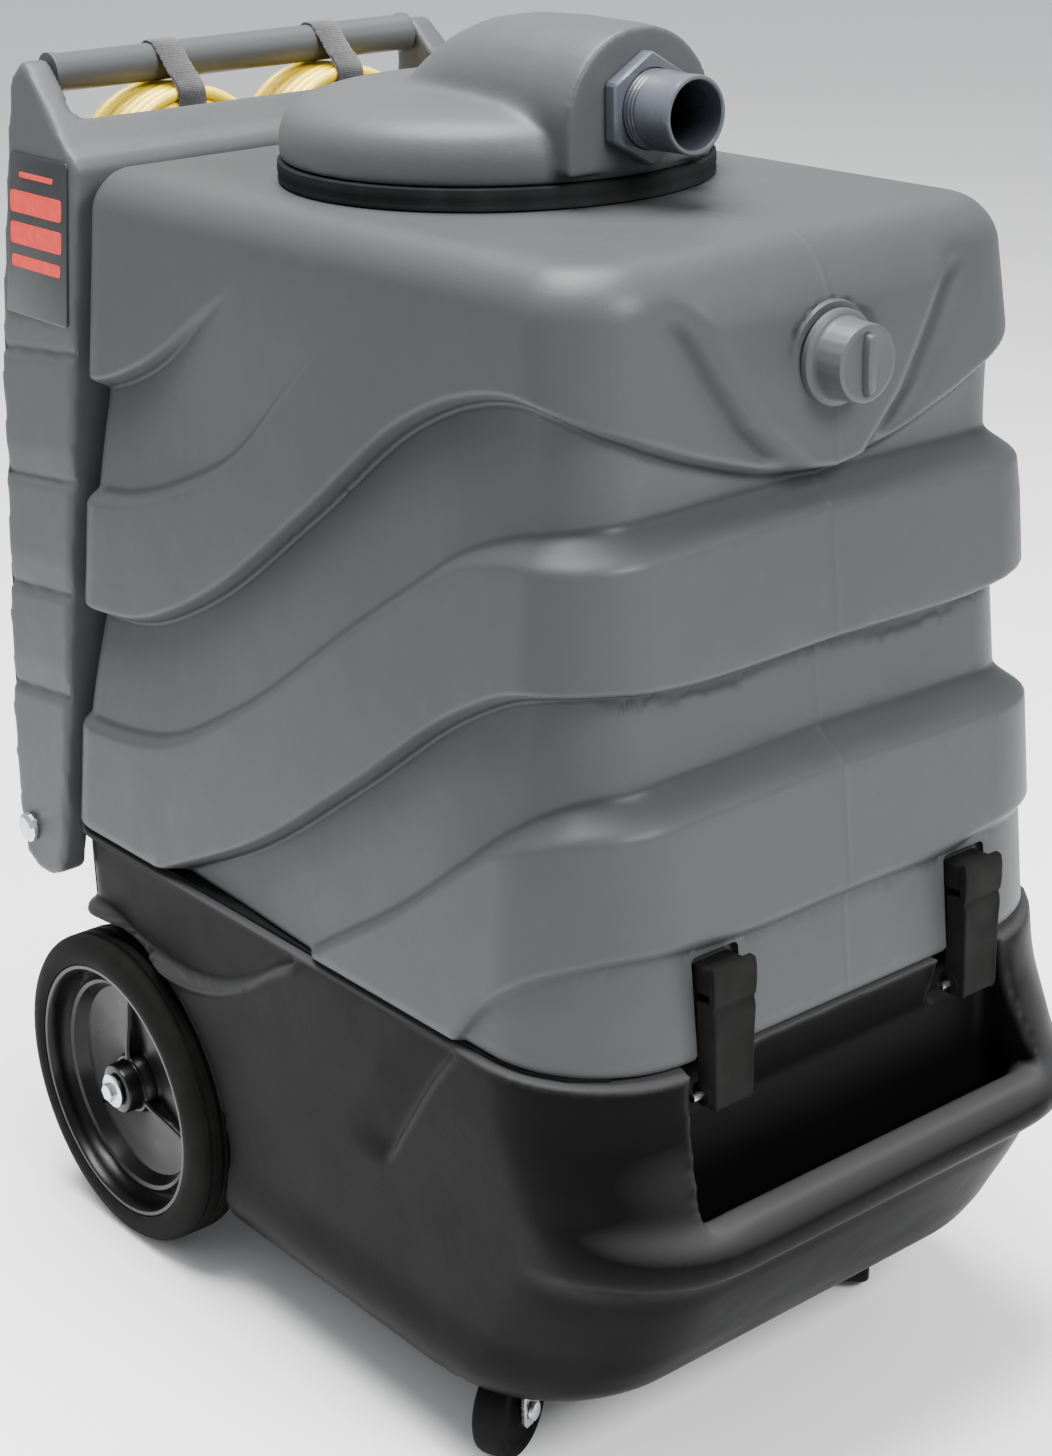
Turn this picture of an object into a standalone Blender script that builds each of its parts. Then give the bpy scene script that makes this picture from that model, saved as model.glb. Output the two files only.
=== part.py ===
"""Portable commercial carpet extractor.

A grey rotomoulded tank with its back column stands on a black rotomoulded base.
Two large wheels carry the rear, two swivel casters the front. A round lid with a
hose spigot closes the tank, and two latches hold the tank down at the front.
Units are metres, +Z is up, the front faces -Y, and the origin is on the floor.
"""
import math

import bmesh
import bpy
from mathutils import Matrix, Vector

GAP = 0.0003

# Tank and base body, which share one plan outline at the parting line
PARTING_Z = 0.3390
HALF_WIDTH = 0.238
SIDE_DRAFT = 0.0915
FRONT_Y = -0.3335
REAR_Y = 0.2835
FRONT_CORNER = 0.100
REAR_CORNER = 0.030
WALL = 0.006
SEAL_FRONT_Y = -0.306

# Base
BASE_BOTTOM_Z = 0.061
BAR_Z = 0.219
BAR_HALF = 0.150

MOTOR_X = 0.088
MOTOR_Y = 0.110
MOTOR_PLATE_Z = 0.282
PUMP_Y = -0.110
PUMP_Z = 0.106
COUPLER_X = 0.112
COUPLER_Z = 0.292
GRILLE_HALF = 0.070
GRILLE_LOW_Z = 0.205
GRILLE_HIGH_Z = 0.265
EAR_X = 0.188
EAR_HALF = 0.018

# Tank
TANK_BOTTOM_Z = 0.3403
TANK_TOP_Z = 0.8405
TANK_WALL = 0.005
LID_Y = 0.0245
LID_HOLE_RADIUS = 0.128
PIPE_Y = 0.120
PIPE_RADIUS = 0.028
PIPE_TOP_Z = 0.760

# Lid
RING_RADIUS = 0.151
RING_BOTTOM_Z = 0.8408
RING_TOP_Z = 0.8560
DOME_TOP_Z = 0.905
SNOUT_HALF = 0.062
SNOUT_FRONT_Y = -0.1255
SNOUT_TOP_Z = 0.953
SPIGOT_Z = 0.900
SPIGOT_RADIUS = 0.0255
SPIGOT_MOUTH_Y = -0.1775

# Rear wheels
WHEEL_RADIUS = 0.127
WHEEL_Y = 0.2275
WHEEL_INNER_X = 0.204
WHEEL_OUTER_X = 0.253
AXLE_RADIUS = 0.008

# Casters
CASTER_X = 0.166
CASTER_Y = -0.1845
CASTER_TRAIL = 0.030
CASTER_WHEEL_RADIUS = 0.0365
CASTER_POCKET_RADIUS = 0.0615
CASTER_POCKET_Z = 0.1035
CASTER_REST_DEG = {"left": 204.0, "right": 222.0}

# Tilt hinge between the base and the tank
HINGE_Y = 0.3375
HINGE_Z = 0.317
EAR_RADIUS = 0.012

# Back column, its handle bar and what hangs from it
COLUMN_WALL = 0.022
HANDLE_Y = 0.3455
HANDLE_Z = 0.895
HANDLE_RADIUS = 0.014
SHELF_Z = 0.600
COIL_X = {"left": -0.066, "right": 0.080}
COIL_Y = 0.3370
COIL_OUTER = 0.0725
COIL_INNER = 0.0325
COIL_HALF_DEPTH = 0.030
COIL_Z = HANDLE_Z - HANDLE_RADIUS - COIL_OUTER - 0.001
CORD_RADIUS = 0.005
LEAD_OFFSET = COIL_OUTER - CORD_RADIUS
LEAD_Y = COIL_Y + 0.015
TAIL_Y = COIL_Y + 0.025
TAIL_LEAVES_DEG = 38.0
TAIL_BEND = 0.045
TAIL_OFFSET = (LEAD_OFFSET * math.cos(math.radians(TAIL_LEAVES_DEG))
               - TAIL_BEND * (1.0 - math.cos(math.radians(TAIL_LEAVES_DEG))))
GLAND_TOP_Z = 0.645
PLUG_TOP_Z = 0.700

# Latches
LATCH_X = 0.116
LATCH_PIVOT_Y = -0.3275
LATCH_PIVOT_Z = 0.316

# Clean-out plug
PLUG_Z = 0.768
PLUG_SEAT_Y = -0.3010
PLUG_FACE_Y = -0.3295

# Facets round a turned piece
FINE = 36
MEDIUM = 24
COARSE = 16
TINY = 12

SIDES = (("left", -1.0), ("right", 1.0))


def clear_scene():
    for obj in list(bpy.data.objects):
        bpy.data.objects.remove(obj, do_unlink=True)


def make_material(name, color, roughness, metallic=0.0):
    material = bpy.data.materials.new(name)
    material.use_nodes = True
    shader = material.node_tree.nodes["Principled BSDF"]
    shader.inputs["Base Color"].default_value = (*color, 1.0)
    shader.inputs["Roughness"].default_value = roughness
    shader.inputs["Metallic"].default_value = metallic
    material.diffuse_color = (*color, 1.0)
    return material


def finish_object(name, bm, material, pivot=(0.0, 0.0, 0.0), sharp_deg=35.0):
    """Turn a bmesh into a named object whose origin is at pivot."""
    bmesh.ops.recalc_face_normals(bm, faces=bm.faces)
    bmesh.ops.translate(bm, verts=bm.verts, vec=-Vector(pivot))
    mesh = bpy.data.meshes.new(name)
    bm.to_mesh(mesh)
    bm.free()
    mesh.shade_smooth()
    mesh.set_sharp_from_angle(angle=math.radians(sharp_deg))
    obj = bpy.data.objects.new(name, mesh)
    obj.location = pivot
    bpy.context.scene.collection.objects.link(obj)
    if material is not None:
        mesh.materials.append(material)
    return obj


def loft(name, sections, material):
    """Skin a stack of (z, outline) sections and close both ends."""
    bm = bmesh.new()
    rings = []
    for z, points in sections:
        rings.append([bm.verts.new((x, y, z)) for x, y in points])
    count = len(rings[0])
    for low, high in zip(rings, rings[1:]):
        for i in range(count):
            j = (i + 1) % count
            bm.faces.new((low[i], low[j], high[j], high[i]))
    bm.faces.new(list(reversed(rings[0])))
    bm.faces.new(rings[-1])
    return finish_object(name, bm, material)


def side_prism(name, profile, half_width, material, pivot=(0.0, 0.0, 0.0)):
    """Extrude a (y, z) profile both ways along X, to half_width(z)."""
    bm = bmesh.new()
    left = [bm.verts.new((-half_width(z), y, z)) for y, z in profile]
    right = [bm.verts.new((half_width(z), y, z)) for y, z in profile]
    count = len(profile)
    bm.faces.new(left)
    bm.faces.new(list(reversed(right)))
    for i in range(count):
        j = (i + 1) % count
        bm.faces.new((left[i], right[i], right[j], left[j]))
    return finish_object(name, bm, material, pivot)


def box(name, low, high, material, bevel=0.0, pivot=(0.0, 0.0, 0.0)):
    bm = bmesh.new()
    bmesh.ops.create_cube(bm, size=1.0)
    size = Vector(high) - Vector(low)
    centre = (Vector(high) + Vector(low)) / 2.0
    bmesh.ops.transform(bm, matrix=Matrix.Translation(centre) @ Matrix.Diagonal((*size, 1.0)),
                        verts=bm.verts)
    if bevel > 0.0:
        bmesh.ops.bevel(bm, geom=bm.edges[:], offset=bevel, segments=1, affect="EDGES")
    return finish_object(name, bm, material, pivot)


AXIS_TURNS = {
    "Z": Matrix.Identity(3),
    "Y": Matrix(((1, 0, 0), (0, 0, 1), (0, -1, 0))),
    "X": Matrix(((0, 0, 1), (0, 1, 0), (-1, 0, 0))),
}


def lathe(name, profile, centre, axis, segments, material, ring=False):
    """Turn a (radius, height) profile about an axis through centre.

    ring joins the last point to the first, so the solid has a hole through it.
    """
    bm = bmesh.new()
    turn = AXIS_TURNS[axis]
    loops = []
    for radius, height in profile:
        if radius <= 0.0:
            loops.append([bm.verts.new(turn @ Vector((0.0, 0.0, height)))])
            continue
        loop = []
        for i in range(segments):
            angle = 2.0 * math.pi * (i + 0.5) / segments
            point = Vector((radius * math.cos(angle), radius * math.sin(angle), height))
            loop.append(bm.verts.new(turn @ point))
        loops.append(loop)
    pairs = list(zip(loops, loops[1:]))
    if ring:
        pairs.append((loops[-1], loops[0]))
    for low, high in pairs:
        for i in range(segments):
            j = (i + 1) % segments
            corners = [low[i % len(low)], low[j % len(low)], high[j % len(high)], high[i % len(high)]]
            unique = [v for k, v in enumerate(corners) if v not in corners[:k]]
            bm.faces.new(unique)
    if not ring:
        for loop in (loops[0], loops[-1]):
            if len(loop) > 2:
                bm.faces.new(loop)
    bmesh.ops.translate(bm, verts=bm.verts, vec=Vector(centre))
    return finish_object(name, bm, material, centre)


def boolean(target, tool, operation="DIFFERENCE"):
    modifier = target.modifiers.new(tool.name, "BOOLEAN")
    modifier.operation = operation
    modifier.solver = "EXACT"
    modifier.object = tool
    tool.hide_render = True
    tool.display_type = "WIRE"


def cut_box(target, name, low, high):
    boolean(target, box(name, low, high, None))


def cut_hole(target, name, radius, start, end_height, axis, segments=16):
    profile = [(radius, 0.0), (radius, end_height)]
    boolean(target, lathe(name, profile, start, axis, segments, None))


def plan(half_width, front, rear, front_radius, rear_radius, steps=5):
    """Plan outline with round corners, anticlockwise from the rear right."""
    corners = (
        (half_width - rear_radius, rear - rear_radius, rear_radius, 0.0),
        (-half_width + rear_radius, rear - rear_radius, rear_radius, 90.0),
        (-half_width + front_radius, front + front_radius, front_radius, 180.0),
        (half_width - front_radius, front + front_radius, front_radius, 270.0),
    )
    points = []
    for x, y, radius, start in corners:
        for i in range(steps + 1):
            angle = math.radians(start + 90.0 * i / steps)
            points.append((x + radius * math.cos(angle), y + radius * math.sin(angle)))
    return points


def body_plan(inset, front=FRONT_Y, half_width=HALF_WIDTH, rear=REAR_Y):
    return plan(half_width - inset, front + inset, rear - inset,
                FRONT_CORNER - inset, max(REAR_CORNER - inset, 0.004))


def column_half(z):
    return HALF_WIDTH - SIDE_DRAFT * (z - PARTING_Z)


def column_inner_half(z):
    return column_half(z) - COLUMN_WALL


# ---------------------------------------------------------------- base


def base_outer_sections():
    """(z, half width, front y) of the base, with the lift bar's bulge."""
    return (
        (BASE_BOTTOM_Z, 0.222, -0.262), (BASE_BOTTOM_Z + 0.012, 0.232, -0.280),
        (0.130, 0.234, -0.318), (0.180, 0.2345, -0.350), (BAR_Z - 0.018, 0.235, -0.371),
        (BAR_Z, 0.2355, -0.3795), (BAR_Z + 0.016, 0.236, -0.3735), (0.260, 0.2365, -0.358),
        (0.300, 0.2375, -0.340), (PARTING_Z - 0.002, HALF_WIDTH, FRONT_Y),
    )


def make_base_shell(material):
    outer = [(z, body_plan(0.0, front, half)) for z, half, front in base_outer_sections()]
    shell = loft("base_shell", outer, material)
    cavity = loft("base_cavity", [
        (BASE_BOTTOM_Z + WALL, body_plan(WALL, -0.250, 0.226)),
        (0.150, body_plan(WALL, -0.290, 0.234)),
        (0.318, body_plan(WALL, -0.296, 0.234)),
        (0.319, body_plan(0.028, -0.280, 0.234)),
        (PARTING_Z + 0.01, body_plan(0.028, -0.280, 0.234)),
    ], None)
    for side, sign in SIDES:
        start = min(sign * (WHEEL_INNER_X - 0.014), sign * 0.30)
        well = lathe("cavity_well_" + side, [(0.147, 0.0), (0.147, 0.110)],
                     (start, WHEEL_Y, WHEEL_RADIUS), "X", MEDIUM, None)
        boolean(cavity, well)
        pocket = lathe("cavity_pocket_" + side,
                       [(CASTER_POCKET_RADIUS + 0.006, 0.0),
                        (CASTER_POCKET_RADIUS + 0.006, CASTER_POCKET_Z + 0.006)],
                       (sign * CASTER_X, CASTER_Y, 0.0), "Z", COARSE, None)
        boolean(cavity, pocket)
    boolean(shell, cavity)
    for side, sign in SIDES:
        start = min(sign * (WHEEL_INNER_X - 0.007), sign * 0.30)
        well = lathe("well_" + side, [(0.140, 0.0), (0.140, 0.103)],
                     (start, WHEEL_Y, WHEEL_RADIUS), "X", MEDIUM, None)
        boolean(shell, well)
        cut_hole(shell, "caster_pocket_" + side, CASTER_POCKET_RADIUS,
                 (sign * CASTER_X, CASTER_Y, 0.02), CASTER_POCKET_Z - 0.02, "Z", COARSE)
        x = sign * LATCH_X
        cut_box(shell, "latch_pocket_" + side, (x - 0.026, -0.42, 0.298), (x + 0.026, -0.308, 0.36))
    cut_hole(shell, "axle_hole", AXLE_RADIUS + GAP, (-0.26, WHEEL_Y, WHEEL_RADIUS), 0.52, "X")
    recess = side_prism("bar_recess", [
        (-0.3350, 0.1780), (-0.3160, 0.1780), (-0.3150, 0.2970), (-0.3300, 0.3450),
        (-0.4200, 0.3450), (-0.4200, 0.2455), (-0.3595, 0.2405), (-0.3450, 0.2330), (-0.3385, 0.2190),
        (-0.3385, 0.1850),
    ], lambda z: BAR_HALF - 0.06 * (z - BAR_Z), None)
    boolean(shell, recess)
    add_hinge_ears(shell)
    cut_box(shell, "grille_opening", (-GRILLE_HALF, 0.270, GRILLE_LOW_Z), (GRILLE_HALF, 0.300, GRILLE_HIGH_Z))
    cut_hole(shell, "coupler_hole", 0.0095, (COUPLER_X, 0.262, COUPLER_Z), 0.04, "Y", TINY)
    return shell


def add_hinge_ears(shell):
    """Two ears behind the base, which the tank's tilt bolts pass through."""
    for side, sign in SIDES:
        x = sign * EAR_X
        ear = box("ear_" + side, (x - EAR_HALF, 0.279, HINGE_Z - EAR_RADIUS), (x + EAR_HALF, HINGE_Y, 0.335), None)
        boss = lathe("ear_boss_" + side, [(EAR_RADIUS, 0.0), (EAR_RADIUS, 2.0 * EAR_HALF)],
                     (x - EAR_HALF, HINGE_Y, HINGE_Z), "X", TINY, None)
        boolean(shell, ear, "UNION")
        boolean(shell, boss, "UNION")
    cut_hole(shell, "tilt_hole", 0.006 + GAP, (-0.23, HINGE_Y, HINGE_Z), 0.46, "X", TINY)


def make_tilt_bolt(side, sign, material):
    """Shoulder bolt: shank through ear and cheek, round head outside."""
    profile = [(0.0, 0.160), (0.006, 0.160), (0.006, 0.2420), (0.012, 0.2420), (0.012, 0.2450),
               (0.009, 0.2475), (0.0, 0.2475)]
    profile = [(r, sign * h) for r, h in profile]
    return lathe("tilt_bolt_" + side, profile, (0.0, HINGE_Y, HINGE_Z), "X", TINY, material)


def make_axle(steel, zinc):
    lathe("rear_axle", [(AXLE_RADIUS, -0.2485), (AXLE_RADIUS, 0.2485)],
          (0.0, WHEEL_Y, WHEEL_RADIUS), "X", TINY, steel)
    for side, sign in SIDES:
        profile = [(0.0, 0.2488), (0.016, 0.2488), (0.016, 0.2505), (0.0105, 0.2505),
                   (0.0105, 0.2560), (0.0, 0.2565)]
        profile = [(r, sign * h) for r, h in profile]
        lathe("axle_cap_" + side, profile, (0.0, WHEEL_Y, WHEEL_RADIUS), "X", TINY, zinc)


def make_wheel(side, sign, rubber, gloss):
    centre = (0.0, WHEEL_Y, WHEEL_RADIUS)
    inner, outer = WHEEL_INNER_X, WHEEL_OUTER_X
    tyre = [(0.1045, inner + 0.002), (0.112, inner), (0.1235, inner + 0.003), (WHEEL_RADIUS, inner + 0.008),
            (WHEEL_RADIUS, outer - 0.008), (0.1235, outer - 0.003), (0.112, outer), (0.1045, outer - 0.002)]
    lathe("tyre_" + side, [(r, sign * h) for r, h in tyre], centre, "X", FINE, rubber, ring=True)
    bore = AXLE_RADIUS + GAP
    rim = [(bore, inner - 0.002), (0.022, inner - 0.002), (0.026, inner + 0.012), (0.090, inner + 0.012),
           (0.100, inner + 0.002), (0.1036, inner + 0.002), (0.1036, outer - 0.004), (0.099, outer - 0.004),
           (0.088, inner + 0.022), (0.022, inner + 0.020), (0.018, 0.2480), (bore, 0.2480)]
    lathe("rim_" + side, [(r, sign * h) for r, h in rim], centre, "X", MEDIUM, gloss, ring=True)


def make_caster(side, sign, steel, zinc, rubber):
    x = sign * CASTER_X
    plate = [(0.0, 0.0865), (0.009, 0.0865), (0.009, 0.0985), (0.032, 0.0985), (0.032, 0.1010),
             (0.009, 0.1010), (0.009, CASTER_POCKET_Z - GAP), (0.0, CASTER_POCKET_Z - GAP)]
    lathe("caster_plate_" + side, plate, (x, CASTER_Y, 0.0), "Z", TINY, zinc)
    fork = lathe("caster_fork_" + side,
                 [(0.0095, 0.0900), (0.026, 0.0860), (0.026, 0.0825), (0.0060, 0.0825), (0.0060, 0.0860),
                  (0.0095, 0.0862)], (x, CASTER_Y, 0.0), "Z", COARSE, steel, ring=True)
    angle = math.radians(CASTER_REST_DEG[side])
    along = Vector((math.cos(angle), math.sin(angle), 0.0))
    across = Vector((-along.y, along.x, 0.0))
    hub = Vector((x, CASTER_Y, CASTER_WHEEL_RADIUS)) + along * CASTER_TRAIL
    frame = Matrix((along, across, Vector((0.0, 0.0, 1.0)))).transposed()
    for leg_sign in (-1.0, 1.0):
        name = "fork_leg_%s_%s" % (side, "a" if leg_sign < 0 else "b")
        boolean(fork, fork_leg(name, frame, x, leg_sign), "UNION")
    bore = lathe("fork_bore_" + side, [(0.0043, -0.03), (0.0043, 0.03)], (0.0, 0.0, 0.0), "X", TINY, None)
    boolean(fork, bore)
    wheel_profile = [(0.0042, -0.0120), (0.012, -0.0130), (0.028, -0.0110), (0.034, -0.0125),
                     (CASTER_WHEEL_RADIUS, -0.0090), (CASTER_WHEEL_RADIUS, 0.0090), (0.034, 0.0125),
                     (0.028, 0.0110), (0.012, 0.0130), (0.0042, 0.0120)]
    wheel = lathe("caster_wheel_" + side, wheel_profile, (0.0, 0.0, 0.0), "X", MEDIUM, rubber, ring=True)
    axle = lathe("caster_axle_" + side,
                 [(0.0, -0.0225), (0.007, -0.0225), (0.007, -0.0183), (0.0038, -0.0183),
                  (0.0038, 0.0183), (0.007, 0.0183), (0.007, 0.0225), (0.0, 0.0225)],
                 (0.0, 0.0, 0.0), "X", TINY, zinc)
    for obj in (wheel, axle, bore):
        obj.location = hub
        obj.rotation_euler = (0.0, 0.0, math.atan2(across.y, across.x))


def fork_leg(name, frame, x, leg_sign):
    """One cheek of a caster fork, from the top bearing down to the wheel's axle."""
    bm = bmesh.new()
    profile = [(-0.020, 0.0845), (0.020, 0.0845), (0.041, 0.048), (0.041, 0.028),
               (0.033, 0.0245), (0.024, 0.028), (0.010, 0.055)]
    near, far = leg_sign * 0.0150, leg_sign * 0.0180
    loops = []
    for across in (near, far):
        loops.append([bm.verts.new(frame @ Vector((a, across, z)) + Vector((x, CASTER_Y, 0.0)))
                      for a, z in profile])
    bm.faces.new(loops[0])
    bm.faces.new(list(reversed(loops[1])))
    count = len(profile)
    for i in range(count):
        j = (i + 1) % count
        bm.faces.new((loops[0][i], loops[1][i], loops[1][j], loops[0][j]))
    return finish_object(name, bm, None)


def make_base_inside(plate_material, motor_material, pump_material):
    """Motor plate with two vacuum motors under it, and the solution pump."""
    deck = box("motor_plate", (-0.184, -0.060, MOTOR_PLATE_Z), (0.184, 0.215, MOTOR_PLATE_Z + 0.005),
               plate_material, 0.001)
    for side, sign in SIDES:
        cut_hole(deck, "motor_inlet_" + side, 0.025, (sign * MOTOR_X, MOTOR_Y, 0.27), 0.03, "Z", TINY)
        motor = [(0.0, 0.118), (0.050, 0.118), (0.054, 0.124), (0.054, 0.186), (0.072, 0.190),
                 (0.072, 0.262), (0.036, 0.270), (0.036, MOTOR_PLATE_Z - GAP), (0.020, MOTOR_PLATE_Z - GAP),
                 (0.020, 0.262), (0.0, 0.262)]
        lathe("vacuum_motor_" + side, motor, (sign * MOTOR_X, MOTOR_Y, 0.0), "Z", COARSE, motor_material)
    lathe("solution_pump", [(0.0, -0.090), (0.030, -0.090), (0.030, 0.010), (0.038, 0.012),
                            (0.038, 0.060), (0.026, 0.062), (0.026, 0.090), (0.0, 0.090)],
          (0.0, PUMP_Y, PUMP_Z), "X", COARSE, pump_material)


def make_grille(material):
    fit = 0.0005
    grille = box("exhaust_grille", (-GRILLE_HALF + fit, 0.2780, GRILLE_LOW_Z + fit),
                 (GRILLE_HALF - fit, 0.2828, GRILLE_HIGH_Z - fit), material)
    for i in range(5):
        z = GRILLE_LOW_Z + 0.008 + 0.0105 * i
        cut_box(grille, "grille_slot_%d" % i, (-0.062, 0.27, z), (0.062, 0.29, z + 0.005))


def make_coupler(brass):
    profile = [(0.0050, -0.0115), (0.0092, -0.0115), (0.0092, 0.0006), (0.0125, 0.0006), (0.0125, 0.0100),
               (0.0090, 0.0110), (0.0090, 0.0200), (0.0050, 0.0200)]
    lathe("solution_coupler", profile, (COUPLER_X, REAR_Y, COUPLER_Z), "Y", TINY, brass, ring=True)


def make_seal(material):
    outer = body_plan(0.008)
    inner = body_plan(0.020)
    bm = bmesh.new()
    rings = []
    for points, z in ((outer, 0.3374), (outer, 0.3399), (inner, 0.3399), (inner, 0.3374)):
        front = SEAL_FRONT_Y + (0.010 if points is inner else 0.0)
        rings.append([bm.verts.new((x, max(y, front), z)) for x, y in points])
    for ring, following in zip(rings, rings[1:] + rings[:1]):
        for i in range(len(ring)):
            j = (i + 1) % len(ring)
            bm.faces.new((ring[i], ring[j], following[j], following[i]))
    finish_object("tank_seal", bm, material)


# ---------------------------------------------------------------- latches


def make_latch(side, sign, lever_material, pin_material):
    x = sign * LATCH_X
    pivot = (x, LATCH_PIVOT_Y, LATCH_PIVOT_Z)
    lever = box("latch_lever_" + side, (x - 0.0185, -0.3410, 0.3065), (x + 0.0185, -0.3355, 0.4085),
                lever_material, 0.0008, pivot)
    eye = lathe("latch_eye_" + side, [(0.0085, -0.0180), (0.0085, 0.0180)], pivot, "X", TINY, None)
    boolean(lever, eye, "UNION")
    cut_hole(lever, "latch_bore_" + side, 0.0033, (x - 0.03, LATCH_PIVOT_Y, LATCH_PIVOT_Z), 0.06, "X", TINY)
    lathe("latch_pin_" + side, [(0.0030, -0.0257), (0.0030, 0.0257)], pivot, "X", 12, pin_material)
    box("latch_keeper_" + side, (x - 0.016, -0.3345, 0.3860), (x + 0.016, -0.3153, 0.4045),
        lever_material, 0.0008)


# ---------------------------------------------------------------- tank


def tank_half(z):
    return HALF_WIDTH - SIDE_DRAFT * (z - PARTING_Z)


def tank_front(z):
    return FRONT_Y + 0.092 * (z - PARTING_Z)


def tank_rear(z):
    return 0.2837 - 0.0405 * (z - PARTING_Z)


def tank_corner(z):
    """The front corners are rounder at the parting line than at the shoulder."""
    return max(FRONT_CORNER - 0.145 * (z - PARTING_Z), 0.056)


def tank_plan(z, inset, front_limit=-1.0):
    front = max(tank_front(z) + inset, front_limit)
    return plan(tank_half(z) - inset, front, tank_rear(z) - inset,
                tank_corner(z) - inset, max(REAR_CORNER - inset, 0.006))


def make_tank_shell(material):
    heights = (TANK_BOTTOM_Z, 0.48, 0.64, 0.80, 0.824)
    outer = [(z, tank_plan(z, 0.0)) for z in heights]
    outer.append((0.835, tank_plan(0.835, 0.014)))
    outer.append((TANK_TOP_Z, tank_plan(TANK_TOP_Z, 0.036)))
    tank = loft("tank_shell", outer, material)
    boss = lathe("plug_boss", [(0.034, 0.0), (0.034, 0.040)], (0.0, -0.300, PLUG_Z), "Y", MEDIUM, None)
    boolean(tank, boss, "UNION")
    limit = -0.304
    inner = [(z, tank_plan(z, TANK_WALL, limit)) for z in (TANK_BOTTOM_Z + 0.006, 0.42, 0.60)]
    inner += [(z, tank_plan(z, TANK_WALL)) for z in (0.70, 0.80, 0.820)]
    inner.append((0.829, tank_plan(0.829, 0.018)))
    inner.append((TANK_TOP_Z - 0.005, tank_plan(TANK_TOP_Z, 0.040)))
    boolean(tank, loft("tank_cavity", inner, None))
    cut_hole(tank, "lid_hole", LID_HOLE_RADIUS, (0.0, LID_Y, 0.80), 0.06, "Z", FINE)
    cut_hole(tank, "plug_hole", 0.0205, (0.0, -0.35, PLUG_Z), 0.11, "Y", COARSE)
    cut_hole(tank, "standpipe_hole", PIPE_RADIUS + 0.0005, (0.0, PIPE_Y, 0.33), 0.03, "Z", COARSE)
    for side, sign in SIDES:
        x = sign * LATCH_X
        cut_box(tank, "latch_slot_" + side, (x - 0.026, -0.36, 0.33), (x + 0.026, -0.315, 0.412))
    return tank


def make_standpipe(pvc, cage_material, ball_material):
    """Air intake pipe with the float shut-off on top of it."""
    foot_z = 0.3415
    inner_radius = PIPE_RADIUS - 0.003
    lathe("standpipe", [(PIPE_RADIUS, foot_z), (PIPE_RADIUS, PIPE_TOP_Z), (inner_radius, PIPE_TOP_Z),
                        (inner_radius, foot_z)], (0.0, PIPE_Y, 0.0), "Z", COARSE, pvc, ring=True)
    cage = lathe("float_cage", [(0.0180, PIPE_TOP_Z + GAP), (0.0340, PIPE_TOP_Z + GAP), (0.0340, 0.8320),
                                (0.0300, 0.8320), (0.0300, 0.7640), (0.0180, 0.7640)], (0.0, PIPE_Y, 0.0), "Z",
                 COARSE, cage_material, ring=True)
    for i in range(3):
        slot = box("cage_slot_%d" % i, (-0.05, -0.008, 0.7760), (0.05, 0.008, 0.8200), None)
        slot.location = (0.0, PIPE_Y, 0.0)
        slot.rotation_euler = (0.0, 0.0, math.radians(60.0 * i + 30.0))
        boolean(cage, slot)
    radius = 0.0240
    centre_z = 0.7892
    steps = 8
    ball = []
    for i in range(steps + 1):
        angle = math.pi * i / steps - math.pi / 2.0
        ball.append((max(radius * math.cos(angle), 0.0) if 0 < i < steps else 0.0,
                     centre_z + radius * math.sin(angle)))
    lathe("float_ball", ball, (0.0, PIPE_Y, 0.0), "Z", COARSE, ball_material)


def make_clean_out_plug(material):
    seat = PLUG_SEAT_Y
    profile = [(0.0, -0.020), (0.0200, -0.020), (0.0200, 0.0007), (0.0300, 0.0007), (0.0300, 0.0065),
               (0.0250, 0.0090), (0.0250, 0.0265), (0.0235, 0.0285), (0.0, 0.0285)]
    plug = lathe("clean_out_plug", [(r, -h) for r, h in profile], (0.0, seat, PLUG_Z), "Y", MEDIUM, material)
    grip = box("plug_grip", (-0.004, PLUG_FACE_Y - 0.0045, PLUG_Z - 0.019),
               (0.004, PLUG_FACE_Y + 0.004, PLUG_Z + 0.019), None)
    boolean(plug, grip, "UNION")


# ---------------------------------------------------------------- column


def column_profile():
    return [
        (0.2865, 0.3170), (0.2925, 0.2910), (0.3115, 0.2830), (0.3300, 0.2835), (0.3475, 0.2920),
        (0.3595, 0.3310), (0.3685, 0.4120), (0.3745, 0.5970), (0.3795, 0.6890), (0.3675, 0.8330),
        (0.3620, 0.8860), (0.3560, 0.8990), (0.3455, 0.9070), (0.3370, 0.9035), (0.2800, 0.8490),
        (0.2720, 0.8455), (0.2665, 0.8370),
    ]


def make_column(material):
    column = side_prism("back_column", column_profile(), column_half, material)
    recess = side_prism("column_recess", [
        (0.2830, SHELF_Z), (0.2745, 0.8330), (0.3025, 0.8575), (0.3025, 0.9500), (0.4200, 0.9500),
        (0.4200, SHELF_Z)], column_inner_half, None)
    boolean(column, recess)
    hollow = side_prism("column_hollow", [
        (0.2700, 0.2700), (0.2700, 0.3440), (0.2900, 0.3440), (0.2830, SHELF_Z - 0.015),
        (0.3620, SHELF_Z - 0.015), (0.3600, 0.4120), (0.3510, 0.3310), (0.3510, 0.2700)],
        column_inner_half, None)
    boolean(column, hollow)
    cut_hole(column, "column_pivot", 0.006 + GAP, (-0.26, HINGE_Y, HINGE_Z), 0.52, "X", TINY)
    cut_box(column, "switch_opening", (-0.075, 0.355, 0.470), (0.075, 0.39, 0.540))
    return column


def make_handle(material):
    half = column_inner_half(HANDLE_Z) - 0.0020
    lathe("handle_bar", [(HANDLE_RADIUS, -half), (HANDLE_RADIUS, half)], (0.0, HANDLE_Y, HANDLE_Z), "X", MEDIUM,
          material)


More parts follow.
